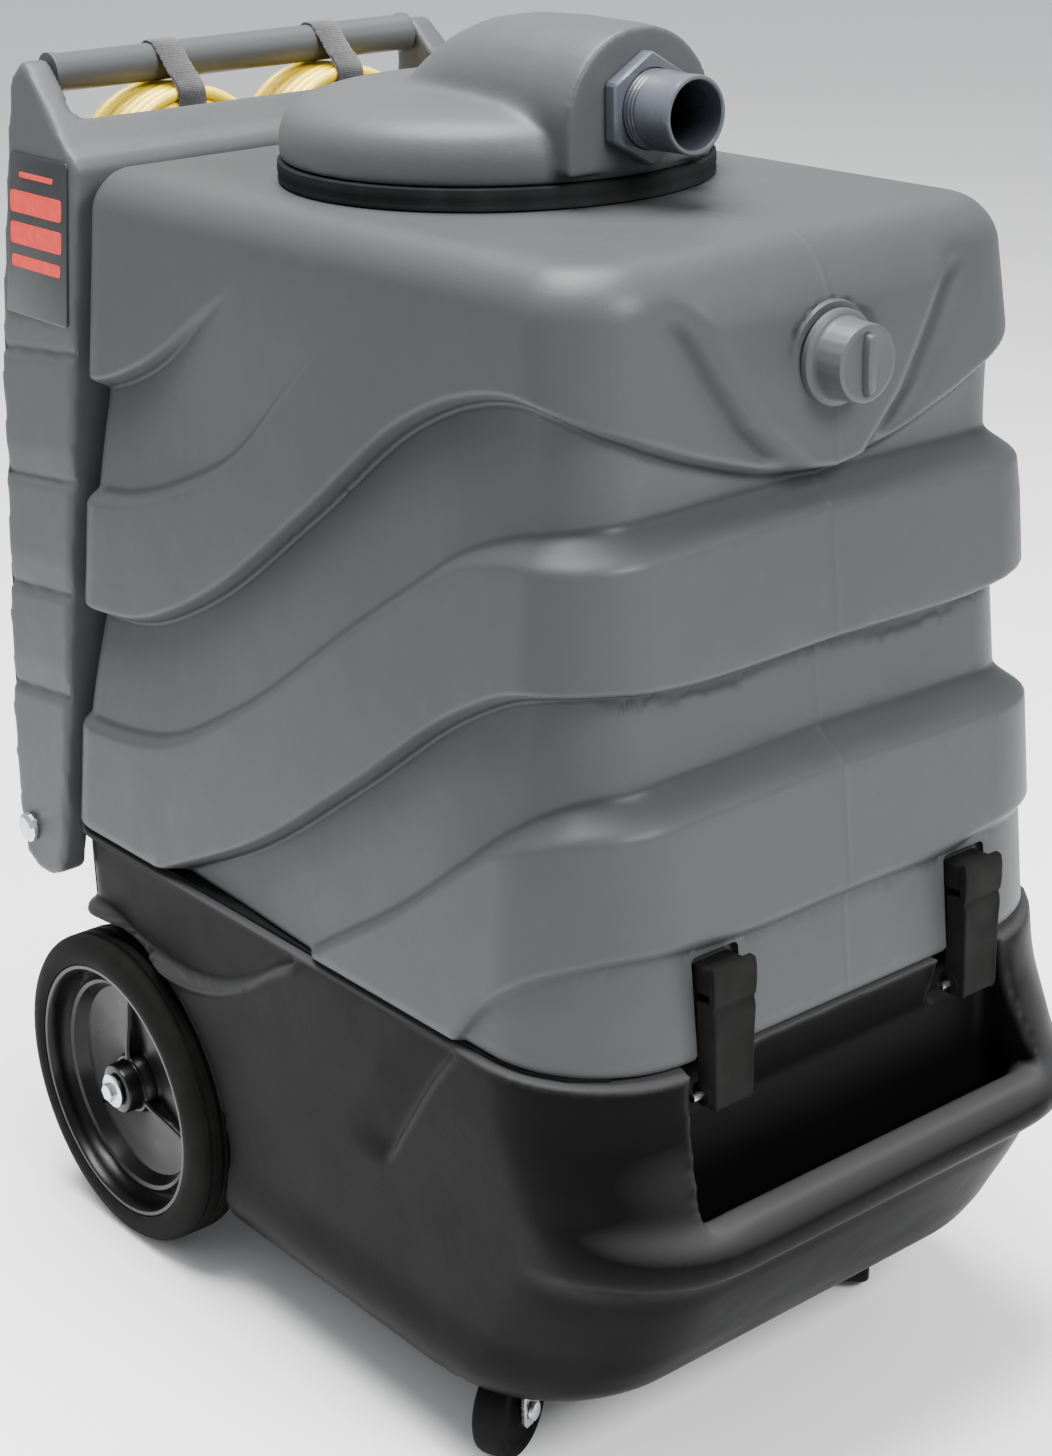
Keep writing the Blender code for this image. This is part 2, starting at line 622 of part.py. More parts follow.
def make_label(material):
    """Blank badge plate on the left cheek of the column, tilted with its draft."""
    bm = bmesh.new()
    loops = []
    for proud in (GAP, 0.0018):
        loops.append([bm.verts.new((-column_half(z) - proud, y, z))
                      for y, z in ((0.2740, 0.7220), (0.3680, 0.7220), (0.3590, 0.8420), (0.2740, 0.8420))])
    bm.faces.new(loops[0])
    bm.faces.new(list(reversed(loops[1])))
    for i in range(4):
        j = (i + 1) % 4
        bm.faces.new((loops[0][i], loops[1][i], loops[1][j], loops[0][j]))
    finish_object("label_plate", bm, material)


def make_switch_panel(panel_material, rocker_material):
    panel = box("switch_panel", (-0.0745, 0.3630, 0.4705), (0.0745, 0.3685, 0.5395), panel_material)
    for name, x in (("vacuum_one", -0.045), ("vacuum_two", 0.0), ("pump", 0.045)):
        cut_box(panel, "rocker_opening_" + name, (x - 0.0085, 0.35, 0.4935), (x + 0.0085, 0.38, 0.5165))
        pivot = (x, 0.3660, 0.5050)
        box("rocker_" + name, (x - 0.0078, 0.3590, 0.4960), (x + 0.0078, 0.3715, 0.5140),
            rocker_material, 0.0008, pivot)


# ---------------------------------------------------------------- cords


def make_gland(side, sign, material):
    x = COIL_X[side] + sign * LEAD_OFFSET
    profile = [(0.0, 0.0), (0.0130, 0.0), (0.0130, 0.0080), (0.0095, 0.0100), (0.0085, 0.0200),
               (0.0068, GLAND_TOP_Z - SHELF_Z - GAP), (0.0, GLAND_TOP_Z - SHELF_Z - GAP)]
    lathe("cord_gland_" + side, profile, (x, LEAD_Y, SHELF_Z + GAP), "Z", TINY, material)


def make_tube(name, points, material):
    curve = bpy.data.curves.new(name, "CURVE")
    curve.dimensions = "3D"
    curve.bevel_depth = CORD_RADIUS
    curve.bevel_resolution = 2
    curve.use_fill_caps = True
    spline = curve.splines.new("POLY")
    spline.points.add(len(points) - 1)
    for item, point in zip(spline.points, points):
        item.co = (*point, 1.0)
    obj = bpy.data.objects.new(name, curve)
    bpy.context.scene.collection.objects.link(obj)
    curve.materials.append(material)


def make_cord(side, sign, cord_material, plug_material):
    """A mains cord: a short lead, the coil that hangs from the handle, a short tail and its plug."""
    centre_x = COIL_X[side]
    half = COIL_HALF_DEPTH
    ring = [(COIL_INNER, -half + 0.006), (COIL_INNER + 0.006, -half), (COIL_OUTER - 0.006, -half),
            (COIL_OUTER, -half + 0.006), (COIL_OUTER, half - 0.006), (COIL_OUTER - 0.006, half),
            (COIL_INNER + 0.006, half), (COIL_INNER, half - 0.006)]
    lathe("cord_coil_" + side, ring, (centre_x, COIL_Y, COIL_Z), "Y", MEDIUM, cord_material, ring=True)
    for part, offset, y, low in (("lead", LEAD_OFFSET, LEAD_Y, GLAND_TOP_Z),
                                 ("tail", -TAIL_OFFSET, TAIL_Y, PLUG_TOP_Z)):
        x = centre_x + sign * offset
        reach = abs(offset) - CORD_RADIUS
        high = COIL_Z - math.sqrt(COIL_OUTER ** 2 - reach ** 2) - 0.0006
        steps = 5
        points = [(x, y, low + GAP + (high - low - GAP) * i / steps) for i in range(steps + 1)]
        make_tube("cord_%s_%s" % (part, side), points, cord_material)
    x = centre_x - sign * TAIL_OFFSET
    plug = lathe("plug_" + side, [(0.0, 0.0), (0.0070, 0.0), (0.0085, -0.018), (0.0150, -0.026),
                                  (0.0150, -0.060), (0.0, -0.060)],
                 (x, TAIL_Y, PLUG_TOP_Z), "Z", COARSE, plug_material)
    for i, dx in enumerate((-0.0065, 0.0065)):
        blade = box("blade_%s_%d" % (side, i), (x + dx - 0.001, TAIL_Y - 0.0032, PLUG_TOP_Z - 0.078),
                    (x + dx + 0.001, TAIL_Y + 0.0032, PLUG_TOP_Z - 0.055), None)
        boolean(plug, blade, "UNION")


def convex_prism(name, points, half, x, material):
    bm = bmesh.new()
    for offset in (-half, half):
        for y, z in points:
            bm.verts.new((x + offset, y, z))
    bmesh.ops.convex_hull(bm, input=bm.verts[:])
    loose = [v for v in bm.verts if not v.link_faces]
    bmesh.ops.delete(bm, geom=loose, context="VERTS")
    bmesh.ops.dissolve_limit(bm, angle_limit=math.radians(1.0), verts=bm.verts, edges=bm.edges)
    return finish_object(name, bm, material)


def strap_points(grow):
    """Hull of the handle bar and of the coil's bundle under it, grown outwards."""
    points = []
    for i in range(20):
        angle = 2.0 * math.pi * i / 20
        points.append((HANDLE_Y + (HANDLE_RADIUS + grow) * math.cos(angle),
                       HANDLE_Z + (HANDLE_RADIUS + grow) * math.sin(angle)))
    corner = 0.006
    for z in (COIL_Z + COIL_OUTER - corner, COIL_Z + COIL_INNER + 0.0020):
        for y_sign in (-1.0, 1.0):
            y = COIL_Y + y_sign * (COIL_HALF_DEPTH - corner)
            for i in range(12):
                angle = 2.0 * math.pi * i / 12
                points.append((y + (corner + grow) * math.cos(angle), z + (corner + grow) * math.sin(angle)))
    return points


def make_strap(side, x, material):
    strap = convex_prism("cord_strap_" + side, strap_points(0.0025), 0.0125, x, material)
    boolean(strap, convex_prism("strap_hole_" + side, strap_points(0.0005), 0.03, x, None))


# ---------------------------------------------------------------- lid


def make_lid(shell_material, gasket_material, pvc):
    ring = [(0.1300, RING_BOTTOM_Z), (RING_RADIUS, RING_BOTTOM_Z), (RING_RADIUS, RING_TOP_Z),
            (0.1300, RING_TOP_Z)]
    lathe("lid_gasket", ring, (0.0, LID_Y, 0.0), "Z", FINE, gasket_material, ring=True)
    dome = [(0.148, RING_TOP_Z + GAP), (0.149, 0.868), (0.1470, 0.880), (0.138, 0.892), (0.115, 0.900),
            (0.080, 0.904), (0.0, DOME_TOP_Z)]
    lid = lathe("lid_shell", dome, (0.0, LID_Y, 0.0), "Z", FINE, shell_material)
    boolean(lid, snout("lid_snout", 0.0), "UNION")
    hollow = [(0.128, RING_TOP_Z - 0.01), (0.140, RING_TOP_Z + 0.004), (0.142, 0.868), (0.139, 0.878),
              (0.130, 0.887), (0.110, 0.8945), (0.078, 0.8985), (0.0, 0.8995)]
    boolean(lid, lathe("lid_hollow", hollow, (0.0, LID_Y, 0.0), "Z", FINE, None))
    boolean(lid, snout("snout_hollow", 0.006))
    cut_hole(lid, "spigot_hole", SPIGOT_RADIUS + GAP, (0.0, -0.16, SPIGOT_Z), 0.06, "Y", MEDIUM)
    mouth = SPIGOT_MOUTH_Y - SNOUT_FRONT_Y
    pipe = [(0.0218, 0.010), (SPIGOT_RADIUS, 0.010), (SPIGOT_RADIUS, mouth), (0.0218, mouth)]
    lathe("hose_spigot", pipe, (0.0, SNOUT_FRONT_Y, SPIGOT_Z), "Y", MEDIUM, pvc, ring=True)
    centre = (0.0, SNOUT_FRONT_Y, SPIGOT_Z)
    nut = lathe("spigot_nut", [(0.0360, -GAP), (0.0360, -0.011)], centre, "Y", 6, pvc)
    cut_hole(nut, "nut_bore", SPIGOT_RADIUS + 2 * GAP, (0.0, SNOUT_FRONT_Y - 0.02, SPIGOT_Z), 0.04, "Y", MEDIUM)


def snout(name, inset):
    """Raised duct over the front half of the lid, with a round top."""
    half = SNOUT_HALF - inset
    top = SNOUT_TOP_Z - inset
    low = RING_TOP_Z + 0.006 + inset
    spring_z = SPIGOT_Z - 0.007
    steps = 10
    bm = bmesh.new()
    loops = []
    for y, scale in ((SNOUT_FRONT_Y + inset, 0.97), (-0.060, 1.0), (0.000, 0.97), (0.045, 0.80),
                     (0.075 - inset, 0.42)):
        points = [(half, low), (half, spring_z)]
        for i in range(1, steps):
            angle = math.pi * i / steps
            points.append((half * math.cos(angle), spring_z + (top - spring_z) * math.sin(angle)))
        points += [(-half, spring_z), (-half, low)]
        loops.append([bm.verts.new((px, y, low + (pz - low) * scale)) for px, pz in points])
    count = len(loops[0])
    bm.faces.new(loops[0])
    bm.faces.new(list(reversed(loops[-1])))
    for near, far in zip(loops, loops[1:]):
        for i in range(count):
            j = (i + 1) % count
            bm.faces.new((near[i], far[i], far[j], near[j]))
    return finish_object(name, bm, None)


# ---------------------------------------------------------------- build


def main():
    clear_scene()
    black = make_material("black_polyethylene", (0.016, 0.016, 0.017), 0.5)
    grey = make_material("grey_polyethylene", (0.20, 0.22, 0.23), 0.5)
    rubber = make_material("dark_rubber", (0.035, 0.035, 0.035), 0.8)
    gloss = make_material("gloss_black_nylon", (0.012, 0.012, 0.014), 0.15)
    zinc = make_material("zinc_plate", (0.62, 0.63, 0.66), 0.3, 1.0)
    steel = make_material("bright_steel", (0.50, 0.50, 0.52), 0.35, 1.0)
    motor = make_material("motor_housing", (0.30, 0.30, 0.31), 0.45, 0.8)
    brass = make_material("brass", (0.60, 0.43, 0.18), 0.3, 1.0)
    pvc = make_material("grey_pvc", (0.17, 0.20, 0.23), 0.25)
    yellow = make_material("yellow_cord_jacket", (0.80, 0.55, 0.02), 0.35)
    webbing = make_material("hook_and_loop", (0.03, 0.03, 0.032), 0.9)
    label = make_material("badge_panel", (0.06, 0.06, 0.065), 0.4)
    white = make_material("white_plastic", (0.75, 0.76, 0.76), 0.4)
    make_base_shell(black)
    make_axle(steel, zinc)
    make_base_inside(steel, motor, motor)
    make_grille(black)
    make_coupler(brass)
    make_seal(rubber)
    make_tank_shell(grey)
    make_standpipe(pvc, white, white)
    make_clean_out_plug(pvc)
    make_column(grey)
    make_handle(grey)
    make_label(label)
    make_switch_panel(black, black)
    make_lid(grey, rubber, pvc)
    for side, sign in SIDES:
        make_tilt_bolt(side, sign, zinc)
        make_wheel(side, sign, rubber, gloss)
        make_caster(side, sign, steel, zinc, rubber)
        make_latch(side, sign, black, steel)
        make_gland(side, sign, black)
        make_cord(side, sign, yellow, black)
        make_strap(side, COIL_X[side], webbing)


main()
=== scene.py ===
import math

import bmesh
import bpy
import numpy as np
from mathutils import Matrix, Vector


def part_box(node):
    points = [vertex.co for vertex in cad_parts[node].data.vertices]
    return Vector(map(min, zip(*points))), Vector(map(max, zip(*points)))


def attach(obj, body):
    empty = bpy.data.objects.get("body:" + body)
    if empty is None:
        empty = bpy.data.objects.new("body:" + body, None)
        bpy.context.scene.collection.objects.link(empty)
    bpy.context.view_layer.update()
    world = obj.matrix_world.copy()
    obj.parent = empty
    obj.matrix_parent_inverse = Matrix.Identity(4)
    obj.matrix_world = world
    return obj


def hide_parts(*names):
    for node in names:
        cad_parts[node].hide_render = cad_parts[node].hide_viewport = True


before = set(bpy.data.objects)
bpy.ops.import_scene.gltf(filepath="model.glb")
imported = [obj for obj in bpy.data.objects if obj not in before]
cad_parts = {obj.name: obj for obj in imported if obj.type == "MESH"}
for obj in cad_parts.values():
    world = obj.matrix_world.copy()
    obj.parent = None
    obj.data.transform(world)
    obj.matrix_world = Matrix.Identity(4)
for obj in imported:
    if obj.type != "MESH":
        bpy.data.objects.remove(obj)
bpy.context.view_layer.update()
SIDES = (("left", -1.0), ("right", 1.0))

# Body sizes, as in the CAD part
PARTING_Z = 0.3390
HALF_WIDTH = 0.238
SIDE_DRAFT = 0.0915
FRONT_Y = -0.3335
REAR_Y = 0.2835
BASE_BOTTOM_Z = 0.061
BASE_WALL = 0.006
WELL_RADIUS = 0.140
WELL_INNER_X = 0.1975
CASTER_POCKET_RADIUS = 0.0615
CASTER_POCKET_Z = 0.1035
EAR_X = 0.188
EAR_HALF = 0.0175
EAR_RADIUS = 0.0118
COUPLER_X = 0.112
COUPLER_Z = 0.292
TANK_BOTTOM_Z = 0.3403
TANK_TOP_Z = 0.8405
TANK_WALL = 0.005
TANK_TRIANGLES = 190000
BASE_TRIANGLES = 185000
COLUMN_TRIANGLES = 150000
LID_TRIANGLES = 90000
BODY_VOXEL = 0.0034
LID_VOXEL = 0.0026
LID_Y = 0.0245
LID_HOLE_RADIUS = 0.128
RING_BOTTOM_Z = 0.8408
RING_TOP_Z = 0.8560
SNOUT_FRONT_Y = -0.1255
SPIGOT_Z = 0.900
SPIGOT_RADIUS = 0.0255
SPIGOT_MOUTH_Y = -0.1775
WHEEL_RADIUS = 0.127
WHEEL_Y = 0.2275
WHEEL_INNER_X = 0.204
WHEEL_OUTER_X = 0.253
CASTER_X = 0.166
CASTER_Y = -0.1845
CASTER_TRAIL = 0.030
CASTER_WHEEL_RADIUS = 0.0365
CASTER_REST_DEG = {"left": 204.0, "right": 222.0}
HINGE_Y = 0.3375
HINGE_Z = 0.317
HANDLE_Y = 0.3455
HANDLE_Z = 0.895
HANDLE_RADIUS = 0.014
HANDLE_GAP = 0.0016
COLUMN_CHEEK = 0.022
LATCH_X = 0.116
LATCH_PIVOT_Y = -0.3275
LATCH_PIVOT_Z = 0.316
LATCH_BACK_Y = -0.3355
LATCH_DEEP_BACK_Y = -0.3240
KEEPER_LOW_Z = 0.382
PLUG_Z = 0.768
PLUG_SEAT_Y = -0.3010

# Cords, wound behind the column
CORD_DIAMETER = 0.010
COIL_X = {"left": -0.066, "right": 0.080}
COIL_Y = 0.3370
COIL_Z = 0.8075
COIL_ROWS = (0.0675, 0.0575, 0.0475, 0.0375)
COIL_TURNS = 5
GLAND_TOP_Z = 0.645
PLUG_TOP_Z = 0.700
TAIL_LEAVES = math.radians(38.0)
TAIL_BEND = 0.045


# ---------------------------------------------------------------- view, light and floor


def add_camera():
    """Three-quarter view from the front left, looking slightly down."""
    yaw, pitch, roll = -0.6797, 0.3781, -0.0228
    forward = Vector((-math.sin(yaw) * math.cos(pitch), math.cos(yaw) * math.cos(pitch), -math.sin(pitch)))
    right = Vector((math.cos(yaw), math.sin(yaw), 0.0))
    up = right.cross(forward)
    x_axis = right * math.cos(roll) + up * math.sin(roll)
    y_axis = up * math.cos(roll) - right * math.sin(roll)
    data = bpy.data.cameras.new("view_camera")
    data.sensor_width = 36.0
    data.lens = 64.86
    camera = bpy.data.objects.new("view_camera", data)
    turn = Matrix((x_axis, y_axis, -forward)).transposed().to_4x4()
    camera.matrix_world = Matrix.Translation((-1.1378, -1.4011, 1.1523)) @ turn
    bpy.context.scene.collection.objects.link(camera)
    bpy.context.scene.camera = camera


def add_area_light(name, place, target, size, watts, color=(1.0, 1.0, 1.0)):
    data = bpy.data.lights.new(name, "AREA")
    data.shape = "RECTANGLE"
    data.size, data.size_y = size
    data.energy = watts
    data.color = color
    light = bpy.data.objects.new(name, data)
    light.location = place
    light.rotation_euler = (Vector(target) - Vector(place)).to_track_quat("-Z", "Y").to_euler()
    bpy.context.scene.collection.objects.link(light)


def add_stage():
    material = bpy.data.materials.new("pale_floor")
    material.use_nodes = True
    shader = material.node_tree.nodes["Principled BSDF"]
    shader.inputs["Base Color"].default_value = (0.95, 0.95, 0.95, 1.0)
    shader.inputs["Roughness"].default_value = 0.9
    mesh = bpy.data.meshes.new("floor")
    mesh.from_pydata([(-12, -12, 0), (12, -12, 0), (12, 12, 0), (-12, 12, 0)], [], [(0, 1, 2, 3)])
    mesh.materials.append(material)
    floor = bpy.data.objects.new("floor", mesh)
    bpy.context.scene.collection.objects.link(floor)
    world = bpy.data.worlds.new("studio")
    world.use_nodes = True
    world.node_tree.nodes["Background"].inputs["Color"].default_value = (0.95, 0.97, 1.0, 1.0)
    world.node_tree.nodes["Background"].inputs["Strength"].default_value = 0.72
    bpy.context.scene.world = world


# ---------------------------------------------------------------- materials


class Nodes:
    """A Principled material under construction, with short calls for its texture nodes."""

    def __init__(self, name, color, roughness, metallic=0.0, coat=0.0, specular=0.5):
        self.material = bpy.data.materials.new(name)
        self.material.use_nodes = True
        self.tree = self.material.node_tree
        self.shader = self.tree.nodes["Principled BSDF"]
        for socket, value in (("Base Color", (*color, 1.0)), ("Roughness", roughness), ("Metallic", metallic),
                ("Coat Weight", coat), ("Coat Roughness", 0.12), ("Specular IOR Level", specular)):
            self.shader.inputs[socket].default_value = value
        self.coordinates = self.tree.nodes.new("ShaderNodeTexCoord").outputs["Object"]
        self.normal = None

    def stretched(self, scale):
        mapping = self.tree.nodes.new("ShaderNodeMapping")
        mapping.inputs["Scale"].default_value = scale
        self.tree.links.new(self.coordinates, mapping.inputs["Vector"])
        return mapping.outputs["Vector"]

    def noise(self, scale, detail, vector=None, roughness=0.55):
        node = self.tree.nodes.new("ShaderNodeTexNoise")
        node.inputs["Scale"].default_value = scale
        node.inputs["Detail"].default_value = detail
        node.inputs["Roughness"].default_value = roughness
        self.tree.links.new(vector or self.coordinates, node.inputs["Vector"])
        return node.outputs["Fac"]

    def wave(self, scale, direction):
        node = self.tree.nodes.new("ShaderNodeTexWave")
        node.bands_direction = direction
        node.inputs["Scale"].default_value = scale
        self.tree.links.new(self.coordinates, node.inputs["Vector"])
        return node.outputs["Fac"]

    def ramp(self, value, stops):
        """Colour ramp; stops are (position, grey or colour)."""
        node = self.tree.nodes.new("ShaderNodeValToRGB")
        elements = node.color_ramp.elements
        while len(elements) < len(stops):
            elements.new(0.5)
        for element, (position, color) in zip(elements, stops):
            element.position = position
            tone = (color, color, color) if isinstance(color, float) else color
            element.color = (*tone, 1.0)
        self.tree.links.new(value, node.inputs["Fac"])
        return node.outputs["Color"]

    def mottle(self, color, scale, detail, low, high, amount, vector=None, roughness=0.55):
        """Paint a colour in noisy patches, which begin at low and are full at high."""
        patches = self.noise(scale, detail, vector, roughness)
        self.paint(color, self.ramp(patches, [(low, 0.0), (high, amount)]))

    def grain(self, scale, detail, strength, distance, vector=None):
        self.bump(self.noise(scale, detail, vector), strength, distance)

    def paint(self, color, amount):
        """Mix colour over what is already on the base colour, by amount."""
        target = self.shader.inputs["Base Color"]
        node = self.tree.nodes.new("ShaderNodeMix")
        node.data_type = "RGBA"
        if target.is_linked:
            self.tree.links.new(target.links[0].from_socket, node.inputs[6])
        else:
            node.inputs[6].default_value = target.default_value
        node.inputs[7].default_value = (*color, 1.0)
        self.tree.links.new(amount, node.inputs[0])
        self.tree.links.new(node.outputs[2], target)

    def vary_roughness(self, value, low, high):
        node = self.tree.nodes.new("ShaderNodeMapRange")
        node.inputs["To Min"].default_value = low
        node.inputs["To Max"].default_value = high
        self.tree.links.new(value, node.inputs["Value"])
        self.tree.links.new(node.outputs["Result"], self.shader.inputs["Roughness"])

    def bump(self, height, strength, distance):
        node = self.tree.nodes.new("ShaderNodeBump")
        node.inputs["Strength"].default_value = strength
        node.inputs["Distance"].default_value = distance
        self.tree.links.new(height, node.inputs["Height"])
        if self.normal:
            self.tree.links.new(self.normal, node.inputs["Normal"])
        self.normal = node.outputs["Normal"]
        self.tree.links.new(self.normal, self.shader.inputs["Normal"])

    def seam(self, half, strength):
        """Raised mould line on the object's middle plane."""
        parts = self.tree.nodes.new("ShaderNodeSeparateXYZ")
        self.tree.links.new(self.coordinates, parts.inputs["Vector"])
        away = self.tree.nodes.new("ShaderNodeMath")
        away.operation = "ABSOLUTE"
        self.tree.links.new(parts.outputs["X"], away.inputs[0])
        self.bump(self.ramp(away.outputs["Value"], [(0.0, 1.0), (half, 0.0)]), strength, 0.001)

    def by_pointiness(self, color, *stops):
        """Paint by how convex the surface is: painted shade in the corners, or edge wear with a painted
        highlight on the edges.
        """
        pointiness = self.tree.nodes.new("ShaderNodeNewGeometry").outputs["Pointiness"]
        self.paint(color, self.ramp(pointiness, stops))

    def painted_top_highlight(self, color, low, high):
        """Painted highlight: a lighter colour on the surfaces that face up, towards the top light."""
        parts = self.tree.nodes.new("ShaderNodeSeparateXYZ")
        normal = self.tree.nodes.new("ShaderNodeTexCoord").outputs["Normal"]
        self.tree.links.new(normal, parts.inputs["Vector"])
        self.paint(color, self.ramp(parts.outputs["Z"], [(low, 0.0), (high, 0.85)]))


def toned(color, factor):
    return tuple(c * factor for c in color)


def moulded_grey(name, color, deep, seam=False):
    """Rotomoulded polyethylene: satin, faintly mottled, with a fine orange-peel skin and light scuffs; with
    seam, also a raised mould line and painted shade in the concave creases.
    """
    n = Nodes(name, color, 0.46, specular=0.20)
    n.mottle(deep, 5.0, 4.0, 0.38, 0.70, 0.55)
    n.mottle(toned(color, 1.22), 60.0, 5.0, 0.58, 0.80, 0.30)
    n.mottle(toned(color, 1.5), 9.0, 8.0, 0.66, 0.80, 0.22, n.stretched((6.0, 6.0, 55.0)), 0.7)
    n.vary_roughness(n.noise(22.0, 4.0), 0.38, 0.52)
    n.grain(650.0, 2.0, 0.16, 0.0006)
    n.grain(28.0, 2.0, 0.12, 0.004)
    if seam:
        # Painted shade: darker colour in the concave creases under the moulded waves.
        n.by_pointiness(toned(color, 0.30), (0.468, 0.90), (0.495, 0.0))
        n.seam(0.0016, 0.35)
    return n.material


def moulded_black():
    n = Nodes("base_polyethylene", (0.0026, 0.0026, 0.0027), 0.42, specular=0.035)
    n.mottle((0.0032, 0.0032, 0.0031), 6.0, 5.0, 0.40, 0.72, 0.7)
    n.mottle((0.012, 0.012, 0.011), 420.0, 2.0, 0.70, 0.82, 0.25)
    n.mottle((0.030, 0.030, 0.030), 7.0, 10.0, 0.71, 0.79, 0.25, n.stretched((2.0, 30.0, 12.0)), 0.75)
    # Edge wear together with a painted highlight: lighter colour on the convex edges, such as the lift bar's
    # roll.
    n.by_pointiness((0.045, 0.045, 0.046), (0.51, 0.0), (0.56, 0.55))
    # Painted highlight: lighter colour on every surface that faces up, the lift bar's top among them.
    n.painted_top_highlight((0.060, 0.060, 0.061), 0.30, 0.90)
    n.vary_roughness(n.noise(18.0, 5.0), 0.34, 0.50)
    n.grain(560.0, 2.0, 0.16, 0.0007)
    n.grain(24.0, 2.0, 0.12, 0.004)
    return n.material


def rubber(name, color, strength=0.25):
    n = Nodes(name, color, 0.72, specular=0.05)
    n.mottle(toned(color, 2.1), 40.0, 6.0, 0.45, 0.75, 0.5)
    n.mottle((0.040, 0.038, 0.034), 14.0, 8.0, 0.60, 0.80, 0.18)
    n.grain(800.0, 2.0, strength, 0.0008)
    return n.material


def glossy(name, color, roughness, coat, specular=0.5):
    n = Nodes(name, color, roughness, coat=coat, specular=specular)
    n.mottle(tuple(min(c * 2.0 + 0.002, 1.0) for c in color), 30.0, 6.0, 0.58, 0.85, 0.35)
    n.vary_roughness(n.noise(45.0, 5.0), roughness * 0.8, roughness * 1.7)
    n.grain(300.0, 2.0, 0.05, 0.0005)
    return n.material


def metal(name, color, roughness, stretch=(1.0, 1.0, 1.0)):
    n = Nodes(name, color, roughness, metallic=1.0)
    n.mottle(toned(color, 0.6), 90.0, 6.0, 0.50, 0.80, 0.6)
    n.vary_roughness(n.noise(160.0, 6.0, n.stretched(stretch)), roughness * 0.7, roughness * 1.8)
    n.grain(500.0, 3.0, 0.12, 0.0004, n.stretched(stretch))
    return n.material


def strap_webbing():
    """Hook-and-loop strap: a woven back with a fuzzy surface."""
    n = Nodes("hook_and_loop_black", (0.012, 0.012, 0.013), 0.88)
    n.shader.inputs["Sheen Weight"].default_value = 0.35
    n.mottle((0.05, 0.05, 0.052), 350.0, 4.0, 0.50, 0.75, 0.7)
    n.bump(n.wave(260.0, "X"), 0.35, 0.0006)
    n.bump(n.wave(210.0, "Z"), 0.35, 0.0006)
    n.grain(900.0, 3.0, 0.5, 0.0006)
    return n.material


def cord_jacket():
    n = Nodes("cord_yellow", (0.82, 0.58, 0.012), 0.26, coat=0.4)
    n.mottle((0.70, 0.40, 0.008), 24.0, 5.0, 0.45, 0.78, 0.6)
    n.mottle((0.25, 0.17, 0.03), 90.0, 8.0, 0.66, 0.84, 0.5)
    n.vary_roughness(n.noise(70.0, 5.0), 0.20, 0.38)
    n.grain(420.0, 2.0, 0.12, 0.0005)
    return n.material


def badge(name, color, patch, scale, amount, roughness):
    n = Nodes(name, color, roughness)
    n.mottle(patch, scale, 5.0, 0.45, 0.75, amount)
    n.grain(700.0, 2.0, 0.1, 0.0004)
    return n.material


M = {
    "tank": moulded_grey("tank_polyethylene", (0.0445, 0.0475, 0.0488), (0.0355, 0.0382, 0.0394), True),
    "grey": moulded_grey("grey_polyethylene", (0.056, 0.0590, 0.0610), (0.046, 0.0490, 0.0505)),
    "black": moulded_black(),
    "tyre": rubber("tyre_rubber", (0.0062, 0.0061, 0.0057)),
    "gasket": rubber("gasket_rubber", (0.0110, 0.0112, 0.0116), 0.15),
    "caster": rubber("caster_rubber", (0.0048, 0.0048, 0.0048)),
    "rim": glossy("rim_nylon", (0.0018, 0.0018, 0.0020), 0.24, 0.0, 0.22),
    "latch": rubber("latch_nylon", (0.0075, 0.0075, 0.0072), 0.12),
    "zinc": metal("zinc_plate", (0.62, 0.64, 0.68), 0.26),
    "steel": metal("bright_steel", (0.58, 0.58, 0.58), 0.20, (1.0, 1.0, 20.0)),
    "brass": metal("brass", (0.74, 0.53, 0.20), 0.24),
    "motor": metal("motor_housing", (0.36, 0.37, 0.38), 0.38, (1.0, 1.0, 12.0)),
    "pvc": glossy("spigot_pvc", (0.060, 0.0660, 0.0800), 0.22, 0.3),
    "white": glossy("white_plastic", (0.75, 0.75, 0.72), 0.34, 0.1),
    "strap": strap_webbing(),
    "cord": cord_jacket(),
    "badge": badge("badge_dark", (0.013, 0.0135, 0.015), (0.026, 0.026, 0.028), 70.0, 0.5, 0.38),
    "badge_red": badge("badge_red", (0.58, 0.022, 0.014), (0.70, 0.060, 0.040), 160.0, 0.7, 0.42),
    "rocker": glossy("rocker_black", (0.014, 0.014, 0.015), 0.28, 0.2),
}


# ---------------------------------------------------------------- mesh helpers


def new_object(name, mesh, material, smooth_deg=None):
    mesh.materials.clear()
    if material is not None:
        mesh.materials.append(material)
    mesh.shade_smooth()
    if smooth_deg is not None:
        mesh.set_sharp_from_angle(angle=math.radians(smooth_deg))
    obj = bpy.data.objects.new(name, mesh)
    bpy.context.scene.collection.objects.link(obj)
    return obj


def mesh_from(name, points, faces):
    mesh = bpy.data.meshes.new(name)
    mesh.from_pydata(np.asarray(points).tolist(), [], [tuple(f) for f in faces])
    mesh.validate()
    return mesh


def grid_faces(rows, columns):
    """Quads between consecutive closed rings of points."""
    i = np.arange(rows - 1)[:, None] * columns
    j = np.arange(columns)[None, :]
    k = (np.arange(columns)[None, :] + 1) % columns
    return np.stack((i + j, i + k, i + columns + k, i + columns + j), axis=-1).reshape(-1, 4)


def swept_triangles(rows, columns):
    """Triangles between rings whose diagonals rise towards the front centre, as the waves do."""
    quads = grid_faces(rows, columns).reshape(rows - 1, columns, 4)
    rising = np.stack((quads[..., (0, 2, 1)], quads[..., (0, 3, 2)]), axis=-2)
    falling = np.stack((quads[..., (0, 3, 1)], quads[..., (1, 3, 2)]), axis=-2)
    on_left = (np.arange(columns) < columns // 2)[None, :, None, None]
    return np.where(on_left, rising, falling).reshape(-1, 3)


